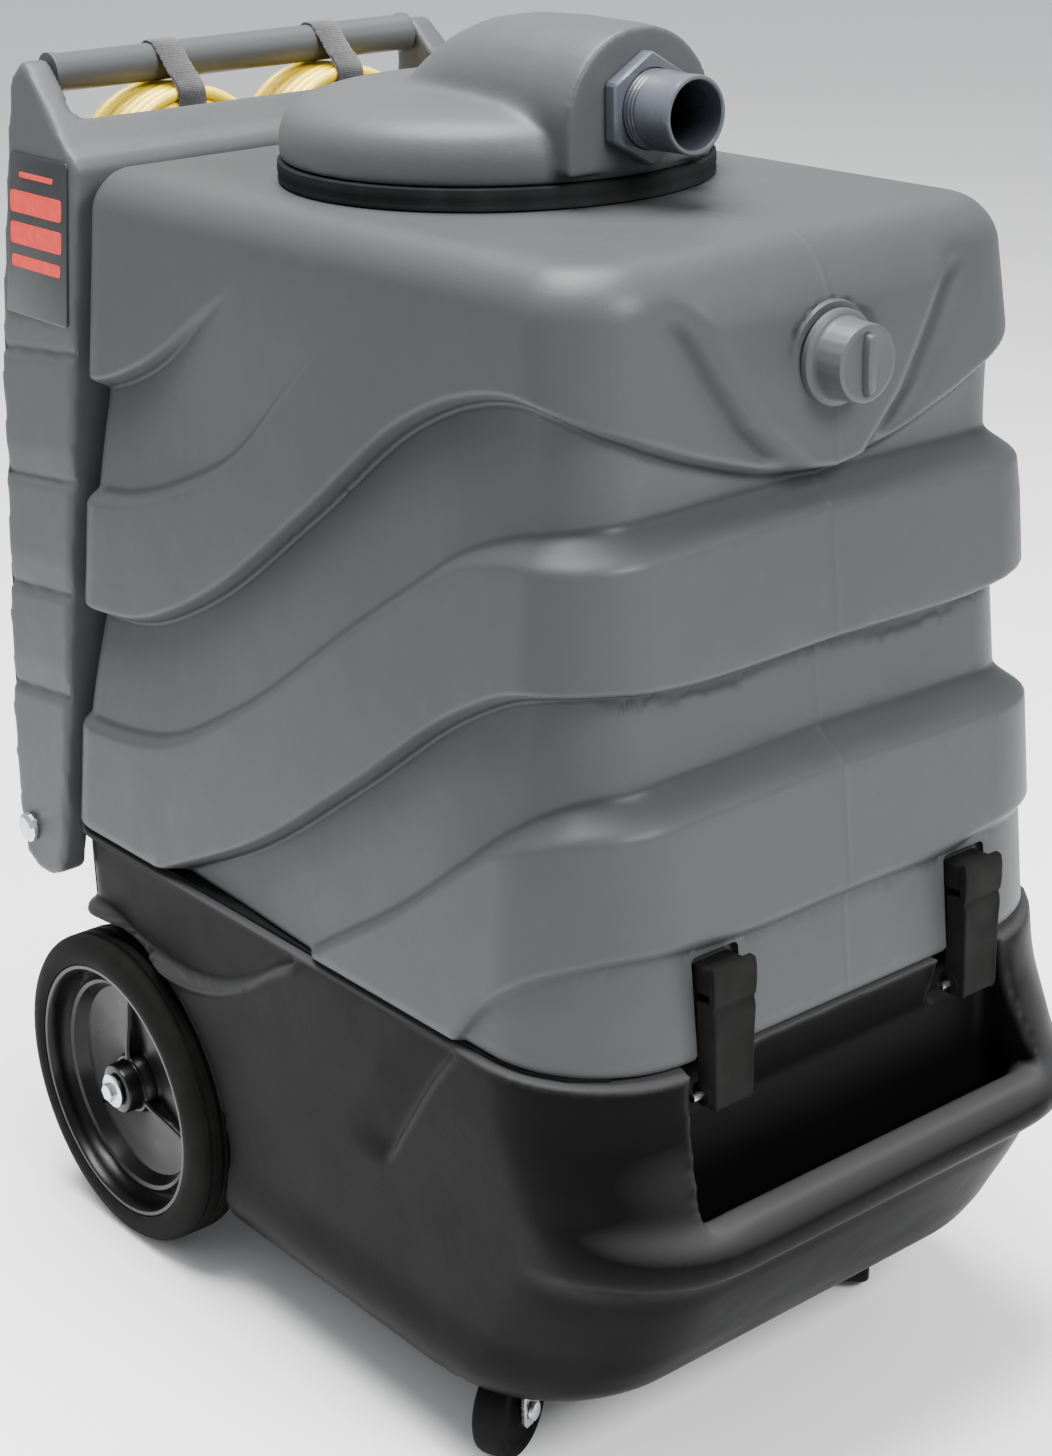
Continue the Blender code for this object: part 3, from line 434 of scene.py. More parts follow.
def loft(name, rings, material=None, caps=True, smooth_deg=None):
    """Closed rings with the same number of points, joined in order."""
    rings = np.asarray(rings, float)
    rows, columns, _ = rings.shape
    faces = grid_faces(rows, columns).tolist()
    if caps:
        faces.append(tuple(reversed(range(columns))))
        faces.append(tuple(range((rows - 1) * columns, rows * columns)))
    mesh = mesh_from(name, rings.reshape(-1, 3), faces)
    turn_outwards(mesh)
    return new_object(name, mesh, material, smooth_deg)


def turned(name, profile, centre, axis, material=None, segments=64, ring=False, smooth_deg=40.0):
    """Revolve (radius, height) about an axis through centre; ring closes the profile on itself."""
    angles = 2.0 * np.pi * np.arange(segments) / segments
    profile = np.array(profile, float)
    radius = np.maximum(profile[:, 0], 1e-5)
    local = np.stack((radius[:, None] * np.cos(angles), radius[:, None] * np.sin(angles),
                      np.repeat(profile[:, 1:2], segments, axis=1)), axis=-1)
    order = {"X": (2, 0, 1), "Y": (1, 2, 0), "Z": (0, 1, 2)}[axis]
    rings = local[:, :, order] + np.array(centre, float)
    if ring:
        rings = np.concatenate((rings, rings[:1]))
    obj = loft(name, rings, material, caps=not ring, smooth_deg=smooth_deg)
    turn_outwards(obj.data, 2e-5)
    return obj


def turn_outwards(mesh, merge=0.0):
    """Turn the faces outwards, after joining points closer than merge."""
    bm = bmesh.new()
    bm.from_mesh(mesh)
    if merge > 0.0:
        bmesh.ops.remove_doubles(bm, verts=bm.verts, dist=merge)
    bmesh.ops.recalc_face_normals(bm, faces=bm.faces)
    bm.to_mesh(mesh)
    bm.free()
    mesh.update()


def block(name, low, high, material=None, bevel=0.0, segments=3):
    """Box from its lowest to its highest corner, with rounded edges."""
    bm = bmesh.new()
    bmesh.ops.create_cube(bm, size=1.0)
    low, high = Vector(low), Vector(high)
    for vert in bm.verts:
        vert.co = Vector([low[i] + (vert.co[i] + 0.5) * (high[i] - low[i]) for i in range(3)])
    if bevel > 0.0:
        bmesh.ops.bevel(bm, geom=bm.edges[:], offset=bevel, segments=segments, profile=0.5, affect="EDGES")
    bmesh.ops.recalc_face_normals(bm, faces=bm.faces)
    mesh = bpy.data.meshes.new(name)
    bm.to_mesh(mesh)
    bm.free()
    return new_object(name, mesh, material, 40.0)


def prism(name, profile, half, centre_x=0.0, material=None, columns=1):
    """Extrude a (y, z) outline along X; half is a number or a function of z."""
    width = half if callable(half) else (lambda z: half)
    rings = []
    for i in range(columns + 1):
        t = 2.0 * i / columns - 1.0
        rings.append([(centre_x + t * width(z), y, z) for y, z in profile])
    return loft(name, rings, material, smooth_deg=35.0)


def round_corners(corners, steps):
    """Anticlockwise outline of four corners, from the high-high one; each is its arc's centre and radius."""
    points = []
    for quarter, (x, y, radius) in enumerate(corners):
        for i in range(steps + 1):
            angle = 0.5 * math.pi * quarter + 0.5 * math.pi * i / steps
            points.append((x + radius * math.cos(angle), y + radius * math.sin(angle)))
    return points


def combine(target, tool, operation="DIFFERENCE"):
    modifier = target.modifiers.new("cut", "BOOLEAN")
    modifier.operation = operation
    modifier.object = tool
    modifier.solver = "MANIFOLD"
    apply_modifiers(target)
    bpy.data.objects.remove(tool, do_unlink=True)


def cylinder(target, radius, start, end, centre, axis, segments, operation="DIFFERENCE"):
    """Bore a round hole through the target, or add a round boss to it."""
    profile = [(0.0, start), (radius, start), (radius, end), (0.0, end)]
    combine(target, turned("cylinder", profile, centre, axis, None, segments), operation)


def apply_modifiers(obj):
    bpy.context.view_layer.update()
    evaluated = obj.evaluated_get(bpy.context.evaluated_depsgraph_get())
    mesh = bpy.data.meshes.new_from_object(evaluated)
    obj.modifiers.clear()
    old = obj.data
    obj.data = mesh
    bpy.data.meshes.remove(old)


def remeshed(obj, voxel, smooth_steps=3, factor=0.5):
    """Voxel remesh and relax, which rounds every edge as rotomoulding does."""
    modifier = obj.modifiers.new("remesh", "REMESH")
    modifier.mode = "VOXEL"
    modifier.voxel_size = voxel
    modifier.use_smooth_shade = True
    relax = obj.modifiers.new("relax", "SMOOTH")
    relax.factor = factor
    relax.iterations = smooth_steps
    apply_modifiers(obj)


def thin_out(obj, faces):
    """Bring a mesh under a triangle count."""
    obj.data.calc_loop_triangles()
    count = len(obj.data.loop_triangles)
    if count > faces:
        modifier = obj.modifiers.new("thin", "DECIMATE")
        modifier.ratio = faces / count
        apply_modifiers(obj)


def points_of(obj):
    points = np.empty(len(obj.data.vertices) * 3)
    obj.data.vertices.foreach_get("co", points)
    return points.reshape(-1, 3)


def normals_of(obj):
    normals = np.empty(len(obj.data.vertices) * 3, np.float32)
    obj.data.vertex_normals.foreach_get("vector", normals)
    return normals.reshape(-1, 3).astype(float)


def set_points(obj, points):
    obj.data.vertices.foreach_set("co", points.reshape(-1))
    obj.data.update()


def join(name, objects):
    """Join meshes into one object, keeping each one's materials."""
    bm = bmesh.new()
    materials = []
    for obj in objects:
        for material in obj.data.materials:
            if material not in materials:
                materials.append(material)
        slots = [materials.index(m) for m in obj.data.materials]
        mesh = obj.data.copy()
        mesh.transform(obj.matrix_world)
        for polygon in mesh.polygons:
            polygon.material_index = slots[polygon.material_index]
        bm.from_mesh(mesh)
        bpy.data.meshes.remove(mesh)
    mesh = bpy.data.meshes.new(name)
    bm.to_mesh(mesh)
    bm.free()
    for obj in objects:
        bpy.data.objects.remove(obj, do_unlink=True)
    joined = bpy.data.objects.new(name, mesh)
    for material in materials:
        mesh.materials.append(material)
    bpy.context.scene.collection.objects.link(joined)
    return joined


def piece(obj, body, slot, *nodes, material=None):
    """Put a finished mesh on its body, in place of its CAD nodes."""
    if material is not None:
        obj.data.materials.clear()
        obj.data.materials.append(material)
    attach(obj, body)
    if nodes:
        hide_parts(*nodes)
    return obj


def eased(t):
    t = np.clip(t, 0.0, 1.0)
    return t * t * (3.0 - 2.0 * t)


def curve_at(points, q):
    """Smooth curve through a few (q, value) points, level beyond its ends."""
    knots = np.array(points, float)
    x, y = knots[:, 0], knots[:, 1]
    slope = np.gradient(y, x)
    q = np.clip(q, x[0], x[-1])
    i = np.clip(np.searchsorted(x, q, side="right") - 1, 0, len(x) - 2)
    width = x[i + 1] - x[i]
    t = (q - x[i]) / width
    return ((1 + 2 * t) * (1 - t) ** 2 * y[i] + t * (1 - t) ** 2 * width * slope[i]
            + t * t * (3 - 2 * t) * y[i + 1] + t * t * (t - 1) * width * slope[i + 1])


# ---------------------------------------------------------------- cords


def cord_route(side, sign):
    """The wound mains cord: up from the gland, rows of turns inwards, out over them, down to the plug."""
    steps = 40
    quarter = math.pi / 2.0
    outer = COIL_ROWS[0]
    points = []

    def put(u, w, y):
        points.append((COIL_X[side] + sign * u, COIL_Y + y, COIL_Z + w))

    def arc(start, end, radius_at, y_at):
        count = max(2, int(round(steps * (end - start) / (2.0 * math.pi))))
        for i in range(1, count + 1):
            t = i / count
            angle = start + t * (end - start)
            put(radius_at(t) * math.cos(angle), radius_at(t) * math.sin(angle), y_at(t))

    slots = [0.015 - CORD_DIAMETER * i for i in range(COIL_TURNS)]
    lead = COIL_Z - GLAND_TOP_Z
    for i in range(9):
        put(outer, -lead + lead * i / 8.0, slots[0])
    angle = 0.0
    for row, radius in enumerate(COIL_ROWS):
        order = slots if row % 2 == 0 else slots[::-1]
        for turn in range(COIL_TURNS):
            flat = 1.5 * math.pi if row == 0 or turn > 0 else math.pi
            y = order[turn]
            arc(angle, angle + flat, lambda t: radius, lambda t: y)
            angle += flat
            last_turn = turn == COIL_TURNS - 1
            if last_turn and row < len(COIL_ROWS) - 1:
                drop = radius - COIL_ROWS[row + 1]
                arc(angle, angle + quarter,
                    lambda t: radius - drop * math.sqrt(1.0 - (1.0 - float(eased(t))) ** 2), lambda t: y)
            else:
                following = slots[0] + CORD_DIAMETER if last_turn else order[turn + 1]
                arc(angle, angle + quarter, lambda t: radius, lambda t: y + (following - y) * float(eased(t)))
            angle += quarter
    y = slots[0] + CORD_DIAMETER
    widening = 5.0 / 3.0 * math.pi
    inner = COIL_ROWS[-1]
    arc(angle, angle + widening, lambda t: inner + (outer - inner) * float(eased(t)), lambda t: y)
    angle += widening
    end = 2.0 * math.pi * math.ceil((angle - math.pi - TAIL_LEAVES) / (2.0 * math.pi)) + math.pi + TAIL_LEAVES
    arc(angle, end, lambda t: outer, lambda t: y)
    tail_u = -outer * math.cos(TAIL_LEAVES) + TAIL_BEND * (1.0 - math.cos(TAIL_LEAVES))
    tail_w = -(outer + TAIL_BEND) * math.sin(TAIL_LEAVES)
    for i in range(1, 7):
        left = TAIL_LEAVES * (1.0 - i / 6.0)
        put(tail_u - TAIL_BEND * (1.0 - math.cos(left)), tail_w + TAIL_BEND * math.sin(left), y)
    drop = COIL_Z + tail_w - PLUG_TOP_Z
    for i in range(1, 5):
        put(tail_u, tail_w - drop * i / 4.0, y)
    return points


def add_cord(side, sign):
    points = cord_route(side, sign)
    data = bpy.data.curves.new("mains_cord_" + side, "CURVE")
    data.dimensions = "3D"
    data.bevel_depth = CORD_DIAMETER / 2.0 - 0.0001
    data.bevel_resolution = 3
    data.use_fill_caps = True
    spline = data.splines.new("POLY")
    spline.points.add(len(points) - 1)
    spline.use_smooth = True
    for item, point in zip(spline.points, points):
        item.co = (*point, 1.0)
    data.materials.append(M["cord"])
    cord = bpy.data.objects.new("mains_cord_" + side, data)
    bpy.context.scene.collection.objects.link(cord)
    piece(cord, "tank", "yellow_cord_jacket", "cord_coil_" + side, "cord_lead_" + side, "cord_tail_" + side)

    x, y = points[-1][0], points[-1][1]
    top = PLUG_TOP_Z
    relief = [(0.0052, 0.0), (0.0066, 0.0)]
    for i in range(6):
        z = -0.0020 - 0.0029 * i
        relief += [(0.0068 + 0.0003 * i, z), (0.0068 + 0.0003 * i, z - 0.0014),
            (0.0060 + 0.0003 * i, z - 0.0017), (0.0060 + 0.0003 * i, z - 0.0027)]
    body = relief + [(0.0095, -0.0205), (0.0128, -0.0240), (0.0147, -0.0285), (0.0150, -0.0350),
                     (0.0142, -0.0380), (0.0142, -0.0400), (0.0150, -0.0430), (0.0150, -0.0585),
                     (0.0145, -0.0600), (0.0, -0.0600)]
    plug = turned("plug_body_" + side, [(0.0, 0.0)] + body, (x, y, top), "Z", M["latch"], 48)
    plug.scale = (1.0, 0.92, 1.0)
    plug.location = (0.0, y * 0.08, 0.0)
    bpy.context.view_layer.update()
    plug.data.transform(plug.matrix_world)
    plug.matrix_world = Matrix.Identity(4)
    parts = [plug]
    for dx in (-0.0065, 0.0065):
        parts.append(block("blade", (x + dx - 0.0008, y - 0.0031, top - 0.0778),
            (x + dx + 0.0008, y + 0.0031, top - 0.0590), M["brass"], 0.0005))
    parts.append(turned("pin", [(0.0023, -0.0590), (0.0023, -0.0758), (0.0012, -0.0776), (0.0, -0.0778)],
                        (x, y + 0.0075, top), "Z", M["brass"], 20))
    plug = join("mains_plug_" + side, parts)
    piece(plug, "tank", "dark_rubber", "plug_" + side)

    base_z = 0.6003
    height = GLAND_TOP_Z - base_z - 0.0005
    gland = [(0.0, 0.0), (0.0130, 0.0), (0.0130, 0.0015), (0.0124, 0.0065), (0.0110, 0.0078),
        (0.0104, 0.0080)]
    for i in range(7):
        z = 0.0090 + 0.0046 * i
        gland += [(0.0098 - 0.0004 * i, z), (0.0098 - 0.0004 * i, z + 0.0022),
            (0.0088 - 0.0004 * i, z + 0.0028), (0.0088 - 0.0004 * i, z + 0.0042)]
    gland += [(0.0066, height - 0.0015), (0.0060, height), (0.0, height)]
    piece(turned("strain_relief_" + side, gland, (points[0][0], points[0][1], base_z), "Z", M["latch"], 40),
          "tank", "dark_rubber", "cord_gland_" + side)


def hull_2d(points):
    """Convex hull, anticlockwise."""
    points = sorted(set(points))

    def half(ordered):
        chain = []
        for p in ordered:
            while len(chain) > 1 and ((chain[-1][0] - chain[-2][0]) * (p[1] - chain[-2][1])
                                      - (chain[-1][1] - chain[-2][1]) * (p[0] - chain[-2][0])) <= 0:
                chain.pop()
            chain.append(p)
        return chain[:-1]

    return half(points) + half(points[::-1])


def strap_loop(grow, count=120):
    """Even points round the handle bar and the coil's bundle below it, in (y, z)."""
    circles = [(HANDLE_Y, HANDLE_Z, HANDLE_RADIUS + grow)]
    for z in (COIL_Z + COIL_ROWS[0] + 0.005 - 0.006, COIL_Z + COIL_ROWS[-1] - 0.005 + 0.0020):
        circles += [(COIL_Y - 0.024, z, 0.006 + grow), (COIL_Y + 0.024, z, 0.006 + grow)]
    cloud = []
    for y, z, radius in circles:
        for i in range(36):
            a = 2.0 * math.pi * i / 36
            cloud.append((round(y + radius * math.cos(a), 7), round(z + radius * math.sin(a), 7)))
    loop = np.array(hull_2d(cloud))
    closed = np.vstack((loop, loop[:1]))
    along = np.concatenate(([0.0], np.cumsum(np.linalg.norm(np.diff(closed, axis=0), axis=1))))
    at = np.linspace(0.0, along[-1], count, endpoint=False)
    return np.stack((np.interp(at, along, closed[:, 0]), np.interp(at, along, closed[:, 1])), axis=1)


def add_strap(side):
    """Hook-and-loop strap round bar and coil, with its overlapping tongue on the front of the loop."""
    x = COIL_X[side]
    half = 0.0115
    profile = [(-half, 0.0004), (-half + 0.0007, 0.0), (half - 0.0007, 0.0), (half, 0.0004), (half, 0.0014),
               (half - 0.0007, 0.0018), (-half + 0.0007, 0.0018), (-half, 0.0014)]
    loop = strap_loop(0.0006)
    centre = loop.mean(axis=0)
    tangent = np.roll(loop, -1, axis=0) - np.roll(loop, 1, axis=0)
    tangent /= np.linalg.norm(tangent, axis=1)[:, None]
    normal = np.stack((tangent[:, 1], -tangent[:, 0]), axis=1)
    if np.mean(np.sum(normal * (loop - centre), axis=1)) < 0:
        normal = -normal
    rings = []
    for i, (point, out) in enumerate(zip(loop, normal)):
        edge = 0.00025 * math.sin(i * 1.9) + 0.0002 * math.sin(i * 0.7)
        rings.append([(x + u * (1.0 + edge / half), *(point + out * lift)) for u, lift in profile])
    rings.append(rings[0])
    band = loft("strap_band", rings, M["strap"], caps=False, smooth_deg=40.0)
    turn_outwards(band.data, 1e-6)
    front = [i for i in range(len(loop)) if loop[i, 0] < COIL_Y - 0.020 and 0.846 < loop[i, 1] < 0.892]
    front.sort(key=lambda i: loop[i, 1])
    rings = []
    for i in front:
        rings.append([(x + u * 0.97, *(loop[i] + normal[i] * (0.0019 + lift))) for u, lift in profile])
    tongue = loft("strap_tongue", rings, M["strap"], smooth_deg=40.0)
    piece(join("bundle_strap_" + side, [band, tongue]), "tank", "hook_and_loop", "cord_strap_" + side)


# ---------------------------------------------------------------- tank


def tank_half(z):
    return HALF_WIDTH - SIDE_DRAFT * (z - PARTING_Z)


def tank_front(z):
    return FRONT_Y + 0.092 * (z - PARTING_Z)


def tank_rear(z):
    return 0.2837 - 0.0405 * (z - PARTING_Z)


def tank_corner(z):
    return np.maximum(0.100 - 0.145 * (z - PARTING_Z), 0.056)


# Edges of the moulded waves: q runs from the rear corner, 0, along the side and round to the front centre, 1
WAVE_A_LOW = ((0.0, 0.682), (0.067, 0.695), (0.138, 0.719), (0.224, 0.762), (0.30, 0.800))
WAVE_B_TOP = ((0.0, 0.598), (0.106, 0.611), (0.192, 0.635), (0.274, 0.668), (0.353, 0.720), (0.45, 0.782))
WAVE_B_LOW = ((0.0, 0.513), (0.127, 0.526), (0.228, 0.563), (0.384, 0.649), (0.529, 0.729), (0.600, 0.752),
              (0.685, 0.762), (0.774, 0.745), (0.854, 0.722), (0.925, 0.706), (1.0, 0.698))
WAVE_C_TOP = ((0.0, 0.424), (0.094, 0.429), (0.164, 0.440), (0.279, 0.486), (0.459, 0.584), (0.528, 0.619),
              (0.595, 0.651), (0.659, 0.667), (0.740, 0.673), (0.851, 0.675), (1.0, 0.680))
WAVE_C_LOW = ((0.0, 0.290), (0.100, 0.316), (0.192, 0.351), (0.313, 0.400), (0.460, 0.480), (0.596, 0.556),
              (0.659, 0.580), (0.740, 0.590), (0.844, 0.585), (1.0, 0.586))
WAVE_D_TOP = ((0.27, 0.265), (0.405, 0.344), (0.531, 0.411), (0.597, 0.451), (0.660, 0.486), (0.717, 0.502),
              (0.789, 0.507), (0.90, 0.509), (1.0, 0.511))
WAVE_D_LOW = ((0.45, 0.245), (0.592, 0.333), (0.624, 0.367), (0.680, 0.402), (0.746, 0.420), (0.812, 0.422),
              (0.880, 0.417), (1.0, 0.417))
SHIELD_EDGE = ((0.690, 0.958), (0.706, 0.953), (0.736, 0.910), (0.768, 0.879), (0.803, 0.848), (0.84, 0.822))


def recess(z, top, low, top_depth, low_depth):
    """Depth of a sunk wave between two edges: a crisp lip above, a sloping ledge below."""
    low_width = 0.006 + 0.80 * low_depth
    enter = eased((top - z) / 0.0120 + 0.5) ** 1.6
    leave = eased((z - low) / low_width + 0.35)
    share = np.clip((z - low) / np.maximum(top - low, 0.01), 0.0, 1.0)
    return enter * leave * (low_depth + (top_depth - low_depth) * share ** 1.3)


def wave_depth(q, z):
    """How far the tank's skin is sunk below its plain outline."""
    front = eased((q - 0.56) / 0.20)
    fade = 1.0 - eased((q - 0.08) / 0.22)
    ledge = 1.0 - eased((q - 0.18) / 0.26)
    depth = recess(z, curve_at(WAVE_D_LOW, q), 0.20 + 0.0 * q, 0.0065, 0.0060)
    for top, low, top_depth, low_depth in (
            (WAVE_A_LOW, WAVE_B_TOP, 0.0165 * fade, 0.0090 * ledge),
            (WAVE_B_LOW, WAVE_C_TOP, 0.0175 - 0.0055 * front, 0.0065 + 0.0155 * front),
            (WAVE_C_LOW, WAVE_D_TOP, 0.0175 + 0.0045 * front, 0.0075 + 0.0145 * front)):
        depth = np.maximum(depth, recess(z, curve_at(top, q), curve_at(low, q), top_depth, low_depth))
    return depth


def shield_height(q, z):
    """The raised V round the clean-out plug, with a shallow valley along its edge."""
    edge = np.interp(z, [p[0] for p in SHIELD_EDGE], [p[1] for p in SHIELD_EDGE])
    within = eased((q - edge) / 0.030 + 0.25)
    valley = np.exp(-((q - edge + 0.012) / 0.016) ** 2)
    low = curve_at(WAVE_B_LOW, q)
    alive_z = eased((z - low) / 0.006 + 0.5) * (1.0 - eased((z - 0.795) / 0.030))
    return (0.0070 * within - 0.0035 * valley) * alive_z


def half_outline(z, counts):
    """Places, outward normals and q of one half of the tank's columns, rear centre to front centre."""
    a, f, r, corner = tank_half(z), -tank_front(z), tank_rear(z), tank_corner(z)
    rear_corner = 0.030
    side = r + f - corner
    total = side + 0.5 * math.pi * corner + a - corner
    places, normals, q = [], [], []

    def straight(x, y, outward, along):
        places.append(np.stack(np.broadcast_arrays(x, y), 1))
        normals.append(np.tile(np.array(outward, float), (len(along), 1)))
        q.append(along / total)

    def arc(x, y, radius, angle, along):
        normals.append(np.stack((np.cos(angle), np.sin(angle)), 1))
        places.append(np.array((x, y)) + radius * normals[-1])
        q.append(along / total)

    t = [np.linspace(0.0, 1.0, count, endpoint=False) for count in counts[:4]]
    t.append(np.linspace(0.0, 1.0, counts[4]))
    straight(-(a - rear_corner) * t[0], r, (0, 1), 0 * t[0])
    arc(-(a - rear_corner), r - rear_corner, rear_corner, 0.5 * math.pi * (1.0 + t[1]), t[1] * rear_corner)
    along = rear_corner + t[2] * (side - rear_corner)
    straight(-a, r - along, (-1, 0), along)
    arc(-(a - corner), -(f - corner), corner, math.pi * (1.0 + 0.5 * t[3]),
        side + t[3] * 0.5 * math.pi * corner)
    straight(-(a - corner) * (1.0 - t[4]), -f, (0, -1), side + 0.5 * math.pi * corner + t[4] * (a - corner))
    return np.concatenate(places), np.concatenate(normals), np.concatenate(q)


def tank_rings(heights, counts, inset, sunk):
    """Closed rings of the tank's skin; inset moves them inwards, sunk adds the moulded waves."""
    rings = []
    for z in heights:
        places, normals, q = half_outline(min(z, 0.832), counts)
        depth = np.full(len(q), inset)
        if sunk:
            depth = depth + wave_depth(q, z) - shield_height(q, z)
        places = places - normals * depth[:, None]
        half = np.column_stack((places, np.full(len(q), z)))
        mirrored = half[1:-1] * np.array((-1.0, 1.0, 1.0))
        rings.append(np.concatenate((half, mirrored[::-1])))
    return rings


SHOULDER = 0.030
INNER_INSET = 0.031


def build_tank():
    counts = (6, 6, 220, 64, 64)
    rise = TANK_TOP_Z - SHOULDER - TANK_BOTTOM_Z
    heights = list(np.linspace(TANK_BOTTOM_Z + 0.004, TANK_BOTTOM_Z + rise, 220))
    rings = tank_rings([TANK_BOTTOM_Z], counts, 0.003, True) + tank_rings(heights, counts, 0.0, True)
    for i in range(1, 13):
        angle = 0.5 * math.pi * i / 12
        z = TANK_TOP_Z - SHOULDER * (1.0 - math.sin(angle))
        rings += tank_rings([z], counts, SHOULDER * (1.0 - math.cos(angle)), True)
    edge = rings[-1]
    around = np.arctan2(edge[:, 0], edge[:, 1] - LID_Y)
    hole = np.column_stack((LID_HOLE_RADIUS * np.sin(around), LID_Y + LID_HOLE_RADIUS * np.cos(around),
                            np.full(len(edge), TANK_TOP_Z)))
    for i in range(1, 11):
        t = i / 10.0
        rings.append(edge * (1.0 - t) + hole * t)
    columns = len(edge)
    hole_low = hole.copy()
    hole_low[:, 2] = TANK_TOP_Z - TANK_WALL
    inner_edge = edge.copy()
    inner_edge[:, 2] = TANK_TOP_Z - TANK_WALL
    rings += [hole_low, inner_edge]
    inside = np.linspace(TANK_TOP_Z - SHOULDER, TANK_BOTTOM_Z + 0.006, 12)
    rings += tank_rings(inside, counts, INNER_INSET, False)
    rings = np.array(rings)
    rows = len(rings)
    faces = swept_triangles(rows, columns).tolist()
    faces.append(tuple(range(columns)))
    faces.append(tuple(reversed(range((rows - 1) * columns, rows * columns))))
    mesh = mesh_from("tank_body", rings.reshape(-1, 3), faces)
    tank = new_object("tank_body", mesh, M["grey"])
    turn_outwards(tank.data, 1e-6)
    boss = turned("boss", [(0.0, 0.0), (0.0335, 0.0), (0.0345, 0.002), (0.0385, 0.022), (0.0, 0.022)],
                  (0.0, PLUG_SEAT_Y + 0.0009, PLUG_Z), "Y", None, 72)
    combine(tank, boss, "UNION")
    cylinder(tank, 0.0207, -0.06, 0.06, (0.0, -0.290, PLUG_Z), "Y", 48)
    cylinder(tank, 0.0285, 0.32, 0.36, (0.0, 0.120, 0.0), "Z", 48)
    for side, sign in SIDES:
        x = sign * LATCH_X
        slot = block("slot", (x - 0.0202, -0.370, 0.318), (x + 0.0202, -0.3150, 0.4102), None, 0.004, 4)
        combine(tank, slot)
    thin_out(tank, TANK_TRIANGLES)
    tank.data.shade_smooth()
    tank.data.set_sharp_from_angle(angle=math.radians(62.0))
    for polygon in tank.data.polygons:
        if polygon.center.z < TANK_BOTTOM_Z + 0.001:
            polygon.use_smooth = False
    piece(tank, "tank", "grey_polyethylene", "tank_shell", material=M["tank"])


# ---------------------------------------------------------------- base

BASE_HALF = ((0.061, 0.2240), (0.075, 0.2325), (0.130, 0.2340), (0.219, 0.2355), (0.300, 0.2375),
    (0.338, 0.2380))
BASE_FRONT = ((0.061, -0.2640), (0.075, -0.2840), (0.100, -0.3040), (0.130, -0.3220), (0.170, -0.3430),
              (0.192, -0.3530), (0.1985, -0.3600), (0.206, -0.3725), (0.219, -0.3792), (0.232, -0.3745),
              (0.245, -0.3640), (0.262, -0.3560), (0.300, -0.3400), (0.338, -0.3335))
FENDER_LEDGE = ((-0.035, 0.3370), (0.0, 0.3180), (0.040, 0.2920), (0.088, 0.2700), (0.122, 0.2622),
    (0.158, 0.2598), (0.195, 0.2640), (0.250, 0.2740), (0.300, 0.2700))
SIDE_CREASE = ((0.200, -0.112), (0.232, -0.132), (0.270, -0.157), (0.312, -0.187), (0.341, -0.211))


def plan_ring(half, front, rear, front_radius, rear_radius, z):
    """Round-cornered plan outline at height z."""
    outline = round_corners((
        (half - rear_radius, rear - rear_radius, rear_radius),
        (-half + rear_radius, rear - rear_radius, rear_radius),
        (-half + front_radius, front + front_radius, front_radius),
        (half - front_radius, front + front_radius, front_radius)), 22)
    return [(x, y, z) for x, y in outline]


def base_outer_rings():
    rings = []
    for z in np.concatenate(([0.061, 0.0625, 0.065, 0.069], np.linspace(0.075, 0.337, 96))):
        half = float(curve_at(BASE_HALF, z))
        front = float(curve_at(BASE_FRONT, z))
        rings.append(plan_ring(half, front, REAR_Y, 0.100, 0.030, z))
    return rings


def base_cavity():
    cavity = loft("cavity", [
        plan_ring(0.220, -0.244, 0.2775, 0.094, 0.024, BASE_BOTTOM_Z + BASE_WALL),
        plan_ring(0.228, -0.284, 0.2775, 0.094, 0.024, 0.150),
        plan_ring(0.228, -0.290, 0.2775, 0.094, 0.024, 0.318),
        plan_ring(0.210, -0.280, 0.2560, 0.080, 0.015, 0.319),
        plan_ring(0.210, -0.280, 0.2560, 0.080, 0.015, 0.350),
    ])
    for side, sign in SIDES:
        start, end = sorted((sign * 0.190, sign * 0.320))
        cylinder(cavity, 0.147, start, end, (0.0, WHEEL_Y, WHEEL_RADIUS), "X", 72)
        cylinder(cavity, 0.0675, 0.0, 0.1095, (sign * CASTER_X, CASTER_Y, 0.0), "Z", 48)
    return cavity


def bar_recess():
    """The scooped hollow above and behind the lift bar, with cheeks that open outwards."""
    bar_y, bar_z = -0.3595, 0.219
    profile = [(-0.3335, 0.1800), (-0.3175, 0.1800), (-0.3160, 0.2300), (-0.3155, 0.2970), (-0.3300, 0.3460),
               (-0.4300, 0.3460), (-0.4300, 0.2450)]
    for i in range(9):
        angle = math.radians(95.0 - 95.0 * i / 8)
        profile.append((bar_y + 0.0215 * math.cos(angle), bar_z + 0.0215 * math.sin(angle)))
    profile.append((-0.3380, 0.1880))
    rings = []
    for i in range(-12, 13):
        t = i / 12.0
        ring = []
        for y, z in profile:
            flare = 0.012 * float(eased((-0.318 - y) / 0.045))
            ring.append((t * (0.1500 + flare - 0.06 * (z - bar_z)), y, z))
        rings.append(ring)
    return loft("bar_recess", rings)


